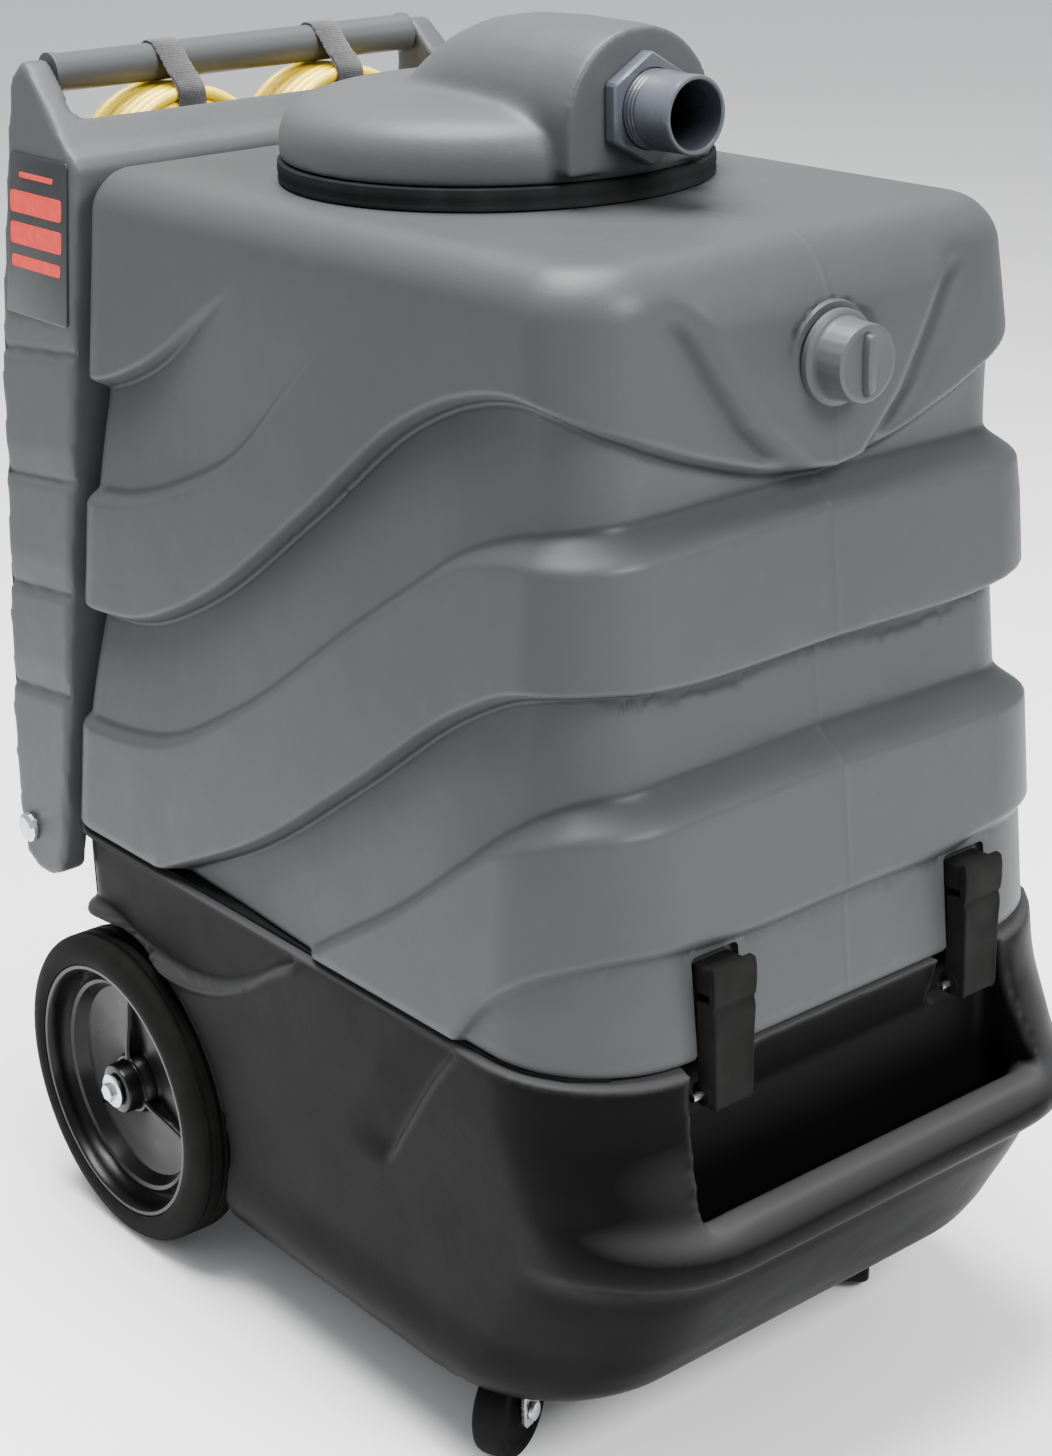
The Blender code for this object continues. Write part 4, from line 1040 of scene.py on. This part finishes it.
def shape_base_side(points, normals):
    """Sink the panel above the fender ledge and press the crease into the side."""
    y, z = points[:, 1], points[:, 2]
    outer = eased((np.abs(points[:, 0]) - 0.2200) / 0.003) * eased((np.abs(normals[:, 0]) - 0.25) / 0.3)
    ledge = curve_at(FENDER_LEDGE, y)
    reach = eased((y + 0.036) / 0.02)
    panel = eased((z - ledge) / 0.006 + 0.5) * eased((0.3345 - z) / 0.004) * reach * 0.0085
    bead = np.exp(-((z - ledge + 0.0060) / 0.0038) ** 2) * reach * 0.0028
    crease_y = curve_at(SIDE_CREASE, z)
    step = eased((y - crease_y) / 0.010 + 0.5) * (1.0 - eased((y - crease_y) / 0.060))
    step = step * eased((z - 0.205) / 0.03) * eased((0.336 - z) / 0.004) * 0.0050
    shaped = points.copy()
    shaped[:, 0] -= np.sign(points[:, 0]) * outer * (panel - bead + step)
    return shaped


def build_base():
    base = loft("base_body", base_outer_rings())
    combine(base, base_cavity())
    for side, sign in SIDES:
        start, end = sorted((sign * WELL_INNER_X, sign * 0.310))
        cylinder(base, WELL_RADIUS, start, end, (0.0, WHEEL_Y, WHEEL_RADIUS), "X", 96)
        cylinder(base, CASTER_POCKET_RADIUS, 0.02, CASTER_POCKET_Z, (sign * CASTER_X, CASTER_Y, 0.0), "Z", 64)
        x = sign * LATCH_X
        combine(base, block("slot", (x - 0.026, -0.42, 0.2975), (x + 0.026, -0.3080, 0.37), None, 0.004))
    combine(base, bar_recess())
    combine(base, block("grille_opening", (-0.0700, 0.265, 0.2050), (0.0700, 0.300, 0.2650), None, 0.003))
    for side, sign in SIDES:
        x = sign * EAR_X
        low, high = (x - EAR_HALF, 0.2780, HINGE_Z - EAR_RADIUS), (x + EAR_HALF, HINGE_Y, 0.3345)
        combine(base, block("ear", low, high), "UNION")
        cylinder(base, EAR_RADIUS, x - EAR_HALF, x + EAR_HALF, (0.0, HINGE_Y, HINGE_Z), "X", 48, "UNION")
    remeshed(base, BODY_VOXEL, 3)
    points, normals = points_of(base), normals_of(base)
    set_points(base, shape_base_side(points, normals))
    soften(base, lambda p: eased((np.abs(p[:, 0]) - 0.128) / 0.012) * eased((-0.305 - p[:, 1]) / 0.02), 14)
    thin_out(base, BASE_TRIANGLES)
    cylinder(base, 0.0084, -0.26, 0.26, (0.0, WHEEL_Y, WHEEL_RADIUS), "X", 32)
    cylinder(base, 0.0063, -0.23, 0.23, (0.0, HINGE_Y, HINGE_Z), "X", 32)
    cylinder(base, 0.0096, 0.262, 0.302, (COUPLER_X, 0.0, COUPLER_Z), "Y", 32)
    base.data.shade_smooth()
    piece(base, "base", "black_polyethylene", "base_shell", material=M["black"])


def soften(obj, weight, steps):
    """Relax the mesh where weight is high, for a broad moulded radius."""
    group = obj.vertex_groups.new(name="soft")
    amount = np.clip(weight(points_of(obj)), 0.0, 1.0)
    for level in range(1, 5):
        chosen = np.nonzero((amount > (level - 1) / 4.0) & (amount <= level / 4.0))[0]
        group.add([int(i) for i in chosen], level / 4.0, "REPLACE")
    modifier = obj.modifiers.new("soften", "SMOOTH")
    modifier.factor = 0.5
    modifier.iterations = steps
    modifier.vertex_group = group.name
    apply_modifiers(obj)
    obj.vertex_groups.clear()


# ---------------------------------------------------------------- column and handle

CHEEK_GROOVES = (0.698, 0.602, 0.515, 0.434)
COLUMN_PROFILE = ((0.2870, 0.3170), (0.2930, 0.2915), (0.3115, 0.2835), (0.3300, 0.2840),
    (0.3475, 0.2925), (0.3595, 0.3310), (0.3685, 0.4120), (0.3745, 0.5970), (0.3795, 0.6890),
    (0.3675, 0.8330), (0.3620, 0.8860), (0.3560, 0.8990), (0.3455, 0.9068), (0.3370, 0.9033),
    (0.2800, 0.8490), (0.2720, 0.8455), (0.2665, 0.8370))


def cheek_inner(z):
    return tank_half(z) - COLUMN_CHEEK


def build_column():
    column = prism("column_body", COLUMN_PROFILE, tank_half, columns=8)
    combine(column, prism("recess", [(0.2830, 0.600), (0.2745, 0.8330), (0.3025, 0.8575), (0.3025, 0.95),
                                     (0.42, 0.95), (0.42, 0.600)], cheek_inner))
    combine(column, prism("hollow", [(0.270, 0.270), (0.270, 0.344), (0.290, 0.344), (0.283, 0.585),
        (0.362, 0.585), (0.360, 0.412), (0.351, 0.331), (0.351, 0.270)], cheek_inner))
    combine(column, block("switch_opening", (-0.0750, 0.355, 0.4700), (0.0750, 0.39, 0.5400)))
    remeshed(column, BODY_VOXEL, 4)
    points, normals = points_of(column), normals_of(column)
    outer = eased((np.abs(points[:, 0]) - tank_half(points[:, 2]) + 0.004) / 0.003)
    outer = outer * eased((np.abs(normals[:, 0]) - 0.3) / 0.4)
    sink = np.zeros(len(points))
    for z in CHEEK_GROOVES:
        offset = points[:, 2] - z - 0.10 * (0.30 - points[:, 1])
        sink += 0.0030 * eased(offset / 0.003 + 0.5) * (1.0 - eased(offset / 0.030))
        sink += 0.0016 * np.exp(-((offset - 0.001) / 0.0035) ** 2)
    points[:, 0] -= np.sign(points[:, 0]) * outer * sink
    set_points(column, points)
    cylinder(column, 0.0064, -0.26, 0.26, (0.0, HINGE_Y, HINGE_Z), "X", 32)
    thin_out(column, COLUMN_TRIANGLES)
    column.data.shade_smooth()
    piece(column, "tank", "grey_polyethylene", "back_column", material=M["grey"])
    half = cheek_inner(HANDLE_Z) - HANDLE_GAP
    collar = 0.0012
    profile = [(0.0, -half), (HANDLE_RADIUS + collar, -half), (HANDLE_RADIUS + collar, -half + 0.004),
               (HANDLE_RADIUS, -half + 0.008), (HANDLE_RADIUS, half - 0.008),
               (HANDLE_RADIUS + collar, half - 0.004), (HANDLE_RADIUS + collar, half), (0.0, half)]
    piece(turned("lift_handle", profile, (0.0, HANDLE_Y, HANDLE_Z), "X", M["grey"], 64),
          "tank", "grey_polyethylene", "handle_bar")


def cheek_point(y, z, proud):
    return (-tank_half(z) - proud, y, z)


def build_label():
    """Blank badge on the left cheek: a dark plate with plain red bars."""
    low, high, front, rear_low, rear_high = 0.7230, 0.8410, 0.2765, 0.3672, 0.3588
    centre_y, centre_z = 0.320, 0.782
    r = 0.004
    corners = round_corners(((rear_high - r, high - r, r), (front + r, high - r, r),
                             (front + r, low + r, r), (rear_low - r, low + r, r)), 6)
    rings = []
    for proud, k in ((0.0003, 1.0), (0.0014, 1.0), (0.0018, 0.988)):
        rings.append([cheek_point(centre_y + (y - centre_y) * k, centre_z + (z - centre_z) * k, proud)
                      for y, z in corners])
    parts = [loft("plate", rings, M["badge"], smooth_deg=40.0)]
    bars = ((0.8260, 0.0040, 0.20, 0.78), (0.8060, 0.0160, 0.06, 0.94), (0.7830, 0.0160, 0.06, 0.94),
            (0.7625, 0.0090, 0.08, 0.92))
    for z, height, start, end in bars:
        r = min(0.0030, height / 2.0)
        near, far = front + 0.084 * start + 0.002 + r, front + 0.084 * end + 0.002 - r
        top, bottom = z + height / 2 - r, z - height / 2 + r
        outline = round_corners(((far, top, r), (near, top, r), (near, bottom, r), (far, bottom, r)), 4)
        rings = [[cheek_point(y, zz, proud) for y, zz in outline] for proud in (0.0016, 0.0022)]
        parts.append(loft("bar", rings, M["badge_red"], smooth_deg=40.0))
    piece(join("badge", parts), "tank", "badge_panel", "label_plate")


# ---------------------------------------------------------------- lid

LID_PROFILE = ((0.1200, 0.8563), (0.1480, 0.8563), (0.1488, 0.8600), (0.1490, 0.8680), (0.1478, 0.8770),
    (0.1435, 0.8860), (0.1350, 0.8930), (0.1200, 0.8985), (0.0950, 0.9020), (0.0600, 0.9040),
    (0.0, 0.9048))


def smooth_profile(points, count=90):
    """Even points on a smooth curve through a turned profile."""
    points = np.array(points, float)
    along = np.concatenate(([0.0], np.cumsum(np.linalg.norm(np.diff(points, axis=0), axis=1))))
    at = np.linspace(0.0, along[-1], count)
    r = curve_at(np.column_stack((along, points[:, 0])), at)
    h = curve_at(np.column_stack((along, points[:, 1])), at)
    return list(zip(r, h))


def snout_rings(inset):
    """Sections of the raised duct, front to back, as arches over the lid; its hollow ends before the tail."""
    spring = SPIGOT_Z - 0.007
    top = 0.953 - inset
    low = RING_TOP_Z + 0.006 + inset
    half = 0.062 - inset
    rings = []
    stations = ((SNOUT_FRONT_Y + inset, 0.975, 1.0), (-0.110, 0.99, 1.0), (-0.060, 1.0, 1.0),
        (-0.020, 0.985, 1.0), (0.015, 0.93, 0.99), (0.040, 0.83, 0.96), (0.060, 0.69, 0.90),
        (0.076, 0.53, 0.80), (0.088, 0.40, 0.66))
    if inset > 0.0:
        stations = stations[:5]
    for y, height, width in stations:
        ring = [(half * width, y, low), (half * width, y, low + (spring - low) * height)]
        for i in range(1, 24):
            a = math.pi * i / 24
            arch = spring + (top - spring) * math.sin(a)
            ring.append((half * width * math.cos(a), y, low + (arch - low) * height))
        ring += [(-half * width, y, low + (spring - low) * height), (-half * width, y, low)]
        rings.append(ring)
    return rings


def build_lid():
    outer = smooth_profile(LID_PROFILE[1:])
    lid = turned("lid_body", [(0.0, outer[0][1])] + outer, (0.0, LID_Y, 0.0), "Z", None, 128)
    combine(lid, loft("snout", snout_rings(0.0)), "UNION")
    inner = [(0.0, RING_TOP_Z - 0.01), (0.128, RING_TOP_Z - 0.01), (0.140, RING_TOP_Z + 0.004),
        (0.1425, 0.868), (0.1390, 0.880), (0.130, 0.888), (0.110, 0.8945), (0.078, 0.8985), (0.0, 0.8995)]
    combine(lid, turned("hollow", inner, (0.0, LID_Y, 0.0), "Z", None, 96))
    combine(lid, loft("snout_hollow", snout_rings(0.006)))
    remeshed(lid, LID_VOXEL, 4)

    def near_root(p):
        radial = np.hypot(p[:, 0], p[:, 1] - LID_Y)
        return eased((p[:, 2] - 0.893) / 0.006) * (1.0 - eased((p[:, 2] - 0.925) / 0.010)) * eased(
            (0.150 - radial) / 0.005) * eased((p[:, 1] - SNOUT_FRONT_Y - 0.012) / 0.02)

    soften(lid, near_root, 40)
    cylinder(lid, 0.0259, -0.16, -0.10, (0.0, 0.0, SPIGOT_Z), "Y", 72)
    thin_out(lid, LID_TRIANGLES)
    lid.data.shade_smooth()
    piece(lid, "lid", "grey_polyethylene", "lid_shell", material=M["grey"])
    ring = [(0.1305, RING_BOTTOM_Z), (0.1495, RING_BOTTOM_Z), (0.1507, RING_BOTTOM_Z + 0.0010),
        (0.1510, 0.8440), (0.1503, 0.8462), (0.1510, 0.8484), (0.1510, 0.8520),
        (0.1507, RING_TOP_Z - 0.0010), (0.1495, RING_TOP_Z), (0.1305, RING_TOP_Z)]
    piece(turned("lid_gasket_ring", ring, (0.0, LID_Y, 0.0), "Z", M["gasket"], 128, ring=True),
          "lid_ring", "dark_rubber", "lid_gasket")


def build_spigot():
    """Hose spigot with its moulded thread run-out and lip, and the hexagonal nut at its root."""
    mouth = SPIGOT_MOUTH_Y
    r = SPIGOT_RADIUS
    profile = [(0.0218, SNOUT_FRONT_Y + 0.010), (r, SNOUT_FRONT_Y + 0.010), (r, SNOUT_FRONT_Y - 0.0125)]
    y = SNOUT_FRONT_Y - 0.0130
    for i in range(3):
        profile += [(r - 0.0012, y), (r - 0.0012, y - 0.0012), (r, y - 0.0020), (r, y - 0.0028)]
        y -= 0.0034
    profile += [(r - 0.0004, y - 0.0040), (r - 0.0006, mouth + 0.0060), (r - 0.0004, mouth + 0.0030),
                (r - 0.0006, mouth + 0.0008), (r - 0.0014, mouth), (0.0226, mouth), (0.0218, mouth + 0.0010)]
    piece(turned("hose_fitting", profile, (0.0, 0.0, SPIGOT_Z), "Y", M["pvc"], 96, ring=True,
        smooth_deg=30.0), "lid", "grey_pvc", "hose_spigot")
    rings = []
    radius = 0.0358
    for depth, chamfer in ((0.0003, 0.0010), (0.0013, 0.0), (0.0090, 0.0), (0.0108, 0.0014)):
        ring = []
        for i in range(6):
            for side in (-1.0, 1.0):
                a = 2.0 * math.pi * (i + 0.5) / 6 + side * 0.035
                ring.append(((radius - chamfer) * math.cos(a), SNOUT_FRONT_Y - depth,
                             SPIGOT_Z + (radius - chamfer) * math.sin(a)))
        rings.append(ring)
    nut = loft("spigot_lock_nut", rings, M["pvc"], smooth_deg=25.0)
    cylinder(nut, 0.0262, -0.15, -0.12, (0.0, 0.0, SPIGOT_Z), "Y", 72)
    nut.data.set_sharp_from_angle(angle=math.radians(25.0))
    piece(nut, "lid", "grey_pvc", "spigot_nut", material=M["pvc"])


# ---------------------------------------------------------------- clean-out plug


def build_clean_out_plug():
    """Threaded plug: neck with a thread, round flange, cap with fluted grip and a raised finger rib."""
    seat = PLUG_SEAT_Y
    thread = [(0.0, 0.0200), (0.0185, 0.0200)]
    depth = 0.0190
    for i in range(5):
        thread += [(0.0200, depth), (0.0200, depth - 0.0010), (0.0188, depth - 0.0016),
            (0.0188, depth - 0.0026)]
        depth -= 0.0034
    profile = thread + [(0.0190, -0.0006), (0.0292, -0.0006), (0.0300, -0.0014), (0.0300, -0.0052),
        (0.0290, -0.0064), (0.0262, -0.0072), (0.0252, -0.0086), (0.0250, -0.0110), (0.0246, -0.0262),
        (0.0240, -0.0278), (0.0226, -0.0285), (0.0205, -0.0283), (0.0195, -0.0276), (0.0, -0.0274)]
    plug = turned("drain_plug", profile, (0.0, seat, PLUG_Z), "Y", M["grey"], 96, smooth_deg=35.0)
    points = points_of(plug)
    across = np.hypot(points[:, 0], points[:, 2] - PLUG_Z)
    angle = np.arctan2(points[:, 2] - PLUG_Z, points[:, 0])
    flute = (0.0004 * (0.5 + 0.5 * np.cos(24.0 * angle)) * (across > 0.0235)
             * eased((seat - 0.0100 - points[:, 1]) / 0.002) * eased((points[:, 1] - seat + 0.0275) / 0.002))
    scale = 1.0 - flute / np.maximum(across, 0.001)
    points[:, 0] *= scale
    points[:, 2] = PLUG_Z + (points[:, 2] - PLUG_Z) * scale
    set_points(plug, points)
    rings = []
    for depth, half_x, half_z in ((-0.0265, 0.0046, 0.0190), (-0.0300, 0.0042, 0.0186),
            (-0.0322, 0.0034, 0.0176), (-0.0330, 0.0020, 0.0160)):
        ring = []
        for i in range(32):
            a = 2.0 * math.pi * i / 32
            ca, sa = math.cos(a), math.sin(a)
            ring.append((half_x * math.copysign(abs(ca) ** 0.6, ca), seat + depth,
                         PLUG_Z + half_z * math.copysign(abs(sa) ** 0.45, sa)))
        rings.append(ring)
    rib = loft("rib", rings, M["grey"], smooth_deg=35.0)
    piece(join("drain_plug_cap", [plug, rib]), "clean_out", "grey_polyethylene", "clean_out_plug")


# ---------------------------------------------------------------- wheels and casters


def build_wheel(side, sign):
    centre = (0.0, WHEEL_Y, WHEEL_RADIUS)
    inner, outer = WHEEL_INNER_X, WHEEL_OUTER_X
    middle = 0.5 * (inner + outer)
    half = 0.5 * (outer - inner)
    section = [(0.1045, -half + 0.002), (0.1080, -half + 0.0004), (0.1130, -half), (0.1175, -half + 0.0012),
               (0.1225, -half + 0.0030), (0.1255, -half + 0.0062)]
    section += [(0.1265, -half + 0.0085)]
    for x in (-0.0105, 0.0, 0.0105):
        section += [(0.1270, x - 0.0022), (0.1245, x - 0.0013), (0.1245, x + 0.0013), (0.1270, x + 0.0022)]
    section += [(r, -x) for r, x in section[:7]][::-1]
    tyre = turned("tyre", [(r, sign * (middle + x)) for r, x in section], centre, "X", M["tyre"], 144,
        ring=True, smooth_deg=35.0)
    piece(tyre, "wheel_" + side, "dark_rubber", "tyre_" + side)
    tyre.name = "tyre_tread_" + side

    web = inner + 0.0120
    dish = [(0.0083, inner - 0.0018), (0.0215, inner - 0.0018), (0.0235, inner), (0.0260, web - 0.0004),
        (0.0890, web - 0.0004), (0.0950, inner + 0.0060), (0.1000, inner + 0.0022),
        (0.1043, inner + 0.0022), (0.1043, outer - 0.0032), (0.1034, outer - 0.0024),
        (0.1008, outer - 0.0026), (0.0996, outer - 0.0042), (0.0990, outer - 0.0110),
        (0.0978, outer - 0.0180), (0.0950, outer - 0.0222), (0.0925, outer - 0.0212),
        (0.0905, outer - 0.0182), (0.0875, outer - 0.0166), (0.0845, outer - 0.0180),
        (0.0822, outer - 0.0225), (0.0790, web + 0.0092), (0.0680, web + 0.0070), (0.0300, web + 0.0070),
        (0.0262, web + 0.0082), (0.0246, web + 0.0140), (0.0240, 0.2310), (0.0232, 0.2330),
        (0.0212, 0.2336), (0.0205, 0.2350), (0.0203, 0.2440), (0.0192, 0.2462), (0.0170, 0.2470),
        (0.0130, 0.2470), (0.0083, 0.2470)]
    mirrored = [(r, sign * h) for r, h in dish]
    parts = [turned("dish", mirrored, centre, "X", M["rim"], 128, ring=True, smooth_deg=32.0)]
    for i in range(3):
        angle = math.radians(96.0 + 120.0 * i)
        rings = []
        for radius, width, proud in ((0.0190, 0.0040, 0.0300), (0.0300, 0.0035, 0.0285),
                (0.0500, 0.0028, 0.0215), (0.0700, 0.0026, 0.0165), (0.0835, 0.0030, 0.0150)):
            top = web + proud * 0.62
            low = web + 0.0050
            ring = []
            for across, x in ((-width, low), (-width * 0.8, top - 0.0015), (-width * 0.35, top),
                    (width * 0.35, top), (width * 0.8, top - 0.0015), (width, low)):
                y = WHEEL_Y + sign * (radius * math.cos(angle) - across * math.sin(angle))
                z = WHEEL_RADIUS + radius * math.sin(angle) + across * math.cos(angle)
                ring.append((sign * x, y, z))
            rings.append(ring)
        parts.append(loft("rib", rings, M["rim"], smooth_deg=35.0))
    rim = join("wheel_rim_" + side, parts)
    piece(rim, "wheel_" + side, "gloss_black_nylon", "rim_" + side)

    low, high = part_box("axle_cap_" + side)
    near = min(abs(low[0]), abs(high[0]))
    far = max(abs(low[0]), abs(high[0]))
    washer = [(0.0, near), (0.0132, near), (0.0138, near + 0.0005), (0.0138, near + 0.0018),
        (0.0132, near + 0.0023), (0.0, near + 0.0023)]
    parts = [turned("washer", [(r, sign * h) for r, h in washer], centre, "X", M["zinc"], 64)]
    rings = []
    for x, radius in ((near + 0.0015, 0.0076), (far - 0.0012, 0.0076), (far - 0.0004, 0.0070), (far, 0.0056)):
        rings.append([(sign * x, WHEEL_Y + radius * math.cos(math.pi * k / 3.0),
                       WHEEL_RADIUS + radius * math.sin(math.pi * k / 3.0)) for k in range(6)])
    parts.append(loft("hex", rings, M["zinc"], smooth_deg=20.0))
    piece(join("axle_bolt_" + side, parts), "base", "zinc_plate", "axle_cap_" + side)


def build_caster(side, sign):
    x = sign * CASTER_X
    angle = math.radians(CASTER_REST_DEG[side])
    along = Vector((math.cos(angle), math.sin(angle), 0.0))
    across = Vector((-along.y, along.x, 0.0))
    up = Vector((0.0, 0.0, 1.0))
    hub = Vector((x, CASTER_Y, CASTER_WHEEL_RADIUS)) + along * CASTER_TRAIL
    turn = Matrix((across, -along, up)).transposed().to_4x4()
    place = Matrix.Translation(hub) @ turn

    r = CASTER_WHEEL_RADIUS
    tread = [(0.0042, -0.0128), (0.0095, -0.0130), (0.0110, -0.0118), (0.0125, -0.0100),
        (0.0245, -0.0100), (0.0262, -0.0112), (0.0290, -0.0124), (0.0330, -0.0122), (0.0352, -0.0108),
        (0.0362, -0.0084), (r, -0.0055)]
    profile = tread + [(a, -h) for a, h in tread[::-1]]
    wheel = turned("roller", profile, (0.0, 0.0, 0.0), "X", M["caster"], 96, ring=True, smooth_deg=30.0)
    wheel.data.transform(place)
    piece(wheel, "caster_roller_" + side, "dark_rubber", "caster_wheel_" + side)
    wheel.name = "caster_tread_" + side

    half = [(0.0, 0.0222), (0.0046, 0.0222), (0.0066, 0.0212), (0.0068, 0.0186), (0.0042, 0.0184),
        (0.0038, 0.0180)]
    axle = turned("axle", [(a, -h) for a, h in half] + half[::-1], (0.0, 0.0, 0.0), "X", M["zinc"], 40)
    axle.data.transform(place)
    piece(axle, "caster_swivel_" + side, "zinc_plate", "caster_axle_" + side)
    axle.name = "caster_bolt_" + side

    crown = [(0.0096, 0.0899), (0.0140, 0.0893), (0.0215, 0.0878), (0.0252, 0.0862), (0.0260, 0.0850),
             (0.0258, 0.0832), (0.0245, 0.0826), (0.0070, 0.0826), (0.0070, 0.0862), (0.0096, 0.0864)]
    parts = [turned("crown", crown, (x, CASTER_Y, 0.0), "Z", M["steel"], 64, ring=True)]
    outline = [(-0.0200, 0.0840), (0.0200, 0.0840), (0.0260, 0.0760), (0.0385, 0.0540), (0.0405, 0.0470),
               (0.0408, 0.0310), (0.0375, 0.0262), (0.0300, 0.0250), (0.0240, 0.0275), (0.0205, 0.0330),
               (0.0105, 0.0550), (-0.0080, 0.0720)]
    for leg in (-1.0, 1.0):
        rings = []
        for offset, shrink in ((0.0150, 0.0), (0.0175, 0.0), (0.0180, 0.0006)):
            ring = []
            for a, z in outline:
                ca = 0.018 + (a - 0.018) * (1.0 - shrink / 0.02)
                cz = 0.055 + (z - 0.055) * (1.0 - shrink / 0.03)
                ring.append(tuple(Vector((x, CASTER_Y, cz)) + along * ca + across * leg * offset))
            rings.append(ring)
        parts.append(loft("leg", rings, M["steel"], smooth_deg=30.0))
    fork = join("caster_bracket_" + side, parts)
    piece(fork, "caster_swivel_" + side, "bright_steel", "caster_fork_" + side)


# ---------------------------------------------------------------- latches


def build_latch(side, sign):
    """Black nylon draw latch: a waisted strap lever with a thumb fold, over a keeper block on the tank."""
    x = sign * LATCH_X
    stations = ((0.3070, 0.0150, 0.0030, 0.0), (0.3078, 0.0162, 0.0046, 0.0),
        (0.3100, 0.0168, 0.0053, 0.0), (0.3200, 0.0170, 0.0055, 0.0), (0.3400, 0.0172, 0.0055, 0.0003),
        (0.3580, 0.0176, 0.0055, 0.0003), (0.3720, 0.0181, 0.0055, 0.0), (0.3765, 0.0183, 0.0055, 0.0010),
        (0.3790, 0.0184, 0.0050, 0.0016), (0.3819, 0.0184, 0.0052, 0.0004),
        (0.3821, 0.0184, 0.0052, 0.0004), (0.3900, 0.0185, 0.0055, 0.0), (0.4010, 0.0185, 0.0055, 0.0003),
        (0.4060, 0.0183, 0.0050, 0.0008), (0.4078, 0.0172, 0.0036, 0.0012),
        (0.4083, 0.0155, 0.0020, 0.0018))
    rings = []
    for z, half, thick, sunk in stations:
        back = LATCH_DEEP_BACK_Y if z < KEEPER_LOW_Z else LATCH_BACK_Y
        face = LATCH_BACK_Y - thick + sunk
        ring = []
        for u, depth in ((-1.0, 0.0), (-1.0, 0.85), (-0.97, 0.96), (-0.90, 1.0), (-0.78, 0.94), (-0.70, 0.92),
                         (0.70, 0.92), (0.78, 0.94), (0.90, 1.0), (0.97, 0.96), (1.0, 0.85), (1.0, 0.0)):
            ring.append((x + half * u, back + (face - back) * depth, z))
        rings.append(ring)
    lever = loft("lever", rings, M["latch"], smooth_deg=40.0)
    eye = turned("eye", [(0.0034, -0.0176), (0.0078, -0.0176), (0.0085, -0.0169), (0.0085, 0.0169),
        (0.0078, 0.0176), (0.0034, 0.0176)], (x, LATCH_PIVOT_Y, LATCH_PIVOT_Z), "X", M["latch"], 40,
        ring=True)
    piece(join("draw_latch_" + side, [lever, eye]), "latch_" + side, "latch_black", "latch_lever_" + side)

    low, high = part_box("latch_keeper_" + side)
    parts = [block("keeper", low, high, M["latch"], 0.0016)]
    for dz in (0.25, 0.5, 0.75):
        z = low[2] + (high[2] - low[2]) * dz
        parts.append(block("grip_line", (low[0] + 0.003, low[1] - 0.0003, z - 0.0006),
                           (high[0] - 0.003, low[1] + 0.0010, z + 0.0006), M["latch"], 0.0003, 1))
    piece(join("latch_catch_" + side, parts), "tank", "latch_black", "latch_keeper_" + side)


# ---------------------------------------------------------------- everything else


KEPT_NODES = {"rear_axle": "steel", "motor_plate": "black", "vacuum_motor_left": "motor",
    "vacuum_motor_right": "motor", "solution_pump": "motor", "caster_plate_left": "zinc",
    "caster_plate_right": "zinc", "latch_pin_left": "steel", "latch_pin_right": "steel",
    "tilt_bolt_left": "zinc", "tilt_bolt_right": "zinc", "exhaust_grille": "rocker",
    "solution_coupler": "brass", "tank_seal": "gasket", "standpipe": "white", "float_cage": "rocker",
    "float_ball": "white", "switch_panel": "badge", "rocker_vacuum_one": "rocker",
    "rocker_vacuum_two": "rocker", "rocker_pump": "rocker"}


def finish_kept_nodes():
    for name, key in KEPT_NODES.items():
        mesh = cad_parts[name].data
        mesh.materials.clear()
        mesh.materials.append(M[key])


# ---------------------------------------------------------------- scene

add_camera()
add_stage()
add_area_light("key", (0.3, -2.8, 2.6), (0.0, 0.0, 0.5), (1.2, 1.2), 165.0)
add_area_light("top", (-0.2, 0.3, 3.2), (0.0, 0.0, 0.5), (1.8, 1.8), 330.0)
for side, sign in SIDES:
    add_cord(side, sign)
    add_strap(side)
    build_wheel(side, sign)
    build_caster(side, sign)
    build_latch(side, sign)
build_tank()
build_base()
build_column()
build_label()
build_lid()
build_spigot()
build_clean_out_plug()
finish_kept_nodes()
